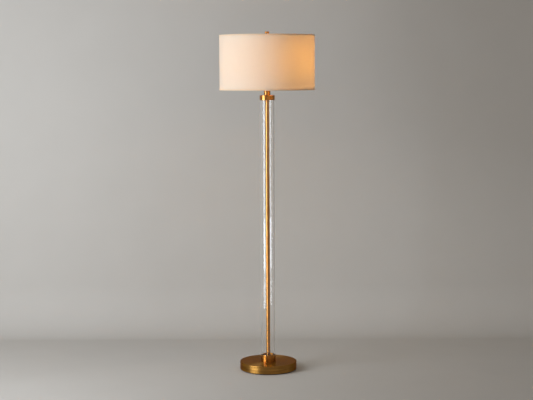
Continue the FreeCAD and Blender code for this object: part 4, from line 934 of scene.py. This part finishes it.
def make_finial(finishes):
    """Turned nut: flange, waist, cove and a plain drum head."""
    _, low, high = span("finial")
    head, flange, waist, cove, bore, bore_depth = 10.0, 8.0, 5.0, 7.0, 3.15, 14.5
    head_low = high - 18
    waist_top = head_low - (head - waist)
    piece("finial_turned", lathed_bow(
        rounded([(bore, low, 0), (flange, low, 0.3), (flange, low + 2, 0.4), (waist, low + 2, 0),
                 (waist, waist_top, 0)], closed=False),
        bow((waist, waist_top), (head, head_low), cove, -1),
        rounded([(head, head_low, 0), (head, high, 1.5), (0, high, 0)], closed=False),
        [(0, low + bore_depth), (bore, low + bore_depth)],
    ), finishes["turned_brass"], "finial")


# ----------------------------------------------------------------------------------------------
# Studio
# ----------------------------------------------------------------------------------------------
def make_stage(material):
    """Floor and backdrop in one sheet: flat, then a quarter bend of 0.25 m, then upright."""
    half_width, front, wall, top, bend = 6000.0, -7500.0, 900.0, 5200.0, 250.0
    profile = rounded([(front, 0, 0), (wall, 0, bend), (wall, top, 0)], steps=24, closed=False)
    across = np.linspace(-half_width, half_width, 3)
    across, along = np.meshgrid(across, profile[:, 0], indexing="ij")
    level = np.broadcast_to(profile[:, 1], across.shape)
    mesh = surface("studio_sweep", [(np.stack([across, along, level], axis=-1), False, False)])
    mesh.flip_normals()  # so that the sheet's face is towards the lamp
    mesh.materials.append(material)
    sweep = bpy.data.objects.new("studio_sweep", mesh)
    bpy.context.scene.collection.objects.link(sweep)


def aimed(thing, place, target):
    """Puts a light or camera at a place in metres and turns it to a target."""
    thing.location = place
    thing.rotation_euler = (Vector(target) - Vector(place)).to_track_quat("-Z", "Y").to_euler()


def softbox(name, watts, colour, width, height, place, target, spread=180):
    """A soft rectangular lamp. spread is the angle of its beam, in degrees."""
    lamp = bpy.data.lights.new(name, "AREA")
    lamp.shape = "RECTANGLE"
    lamp.size, lamp.size_y = width, height
    lamp.energy = watts
    lamp.spread = math.radians(spread)
    lamp.color = linear(colour)[:3]
    thing = bpy.data.objects.new(name, lamp)
    thing.visible_camera = False
    bpy.context.scene.collection.objects.link(thing)
    aimed(thing, place, target)


def make_lights():
    """A tall soft lamp from the left, a low one before it for the foot, a weak one from the front
    and the bulb's own warm light, which stands off the axis, towards the side of the shade that
    glows most."""
    softbox("key", 74, "#EBF3FC", 1.5, 2.4, (-2.15, -1.3, 1.27), (0, 0, 1.2))
    softbox("low", 0.9, "#EBF3FC", 0.8, 0.5, (-1.12, -0.68, 0.3), (0, 0, 0.3), 60)
    softbox("fill", 8, "#FFEAD2", 3.0, 2.4, (1.6, -4.2, 1.7), (0, 0, 1.0))
    for name, level in (("bulb_light_low", 1.37), ("bulb_light_high", 1.465)):
        bulb = bpy.data.lights.new(name, "POINT")
        bulb.energy = BULB_WATTS / 2
        bulb.color = linear("#FFD47C")[:3]
        bulb.shadow_soft_size = 0.03
        thing = bpy.data.objects.new(name, bulb)
        thing.location = (0.085, -0.058, level)
        thing.visible_camera = False
        bpy.context.scene.collection.objects.link(thing)


def make_world():
    """An even surround: dim as a light, and pale where it is seen, mirrored or seen through."""
    world = bpy.data.worlds.new("surround")
    world.use_nodes = True
    tree = world.node_tree
    light = tree.nodes["Background"]
    light.inputs["Color"].default_value = linear("#FFFAF4")
    light.inputs["Strength"].default_value = SURROUND_LIGHT
    seen = add(tree, "Background", {"Color": linear("#A69F96"), "Strength": 1.0})
    path = add(tree, "LightPath").outputs
    direct = add(tree, "Math", {0: path["Is Camera Ray"], 1: path["Is Glossy Ray"]},
                 operation="ADD")
    either = add(tree, "Math", {0: direct.outputs[0], 1: path["Is Transmission Ray"]},
                 operation="ADD", use_clamp=True)
    mix = add(tree, "MixShader", {
        0: either.outputs[0], 1: light.outputs[0], 2: seen.outputs[0]})
    tree.links.new(mix.outputs[0], tree.nodes["World Output"].inputs["Surface"])
    bpy.context.scene.world = world


def make_camera():
    """The camera at the photograph's place: its height, distance and downward tilt come from the
    ellipses of the lamp's round parts, and its roll from the lean of the column."""
    tilt, roll = 5.69, 0.26
    camera = bpy.data.cameras.new("camera")
    camera.lens, camera.sensor_width = 88.0, 36.0
    thing = bpy.data.objects.new("camera", camera)
    thing.location = (-0.0025, -5.925, 1.376)
    thing.rotation_euler = (math.radians(90 - tilt), math.radians(roll), 0)
    bpy.context.scene.collection.objects.link(thing)
    bpy.context.scene.camera = thing


def main():
    """Finishes, pieces and studio."""
    bpy.context.scene.view_settings.view_transform = "Standard"
    finishes = {
        "felt": wool_felt(),
        "brushed_brass": brushed_brass(),
        "turned_brass": turned_brass(),
        "plated_brass": drawn_brass(),
        "iron": enamelled_iron(),
        "zinc": zinc_steel(),
        "nylon": moulded("black_nylon", "#151515", "#202021", 0.35, 0.5),
        "glass": clear_glass(),
        "silicone": clear_silicone(),
        "phenolic": moulded("black_phenolic", "#17130F", "#241D18", 0.25, 0.4),
        "fibre": moulded("vulcan_fibre", "#5B4A3C", "#7A6450", 0.6, 0.8, 1.5),
        "knob_plastic": moulded("black_urea", "#121212", "#1D1D1D", 0.22, 0.36),
        "insulator": moulded("black_glass_insulator", "#0E0E10", "#18181B", 0.12, 0.2),
        "nickel": nickel_plate(),
        "white_plastic": moulded("white_pbt", "#E6E3DC", "#F0EEE8", 0.35, 0.48),
        "lit_globe": lit_globe(),
        "linen": linen("natural_linen", "#F5EEE2", "#F8F1E4", 0.5, 1.1),
        # The tape is the same linen; its warmer colours are the bulb's glow painted in, as the
        # glow passes the folded hem less
        "linen_tape": linen("linen_tape", "#F9ECD8", "#FFF4E2", 0.62, 0.9),
        "styrene": white_styrene(),
    }
    make_base(finishes)
    make_column(finishes)
    make_harp(finishes)
    make_lampholder(finishes)
    make_bulb(finishes)
    make_shade(finishes)
    make_finial(finishes)
    make_stage(studio_paint())
    make_lights()
    make_world()
    make_camera()


main()
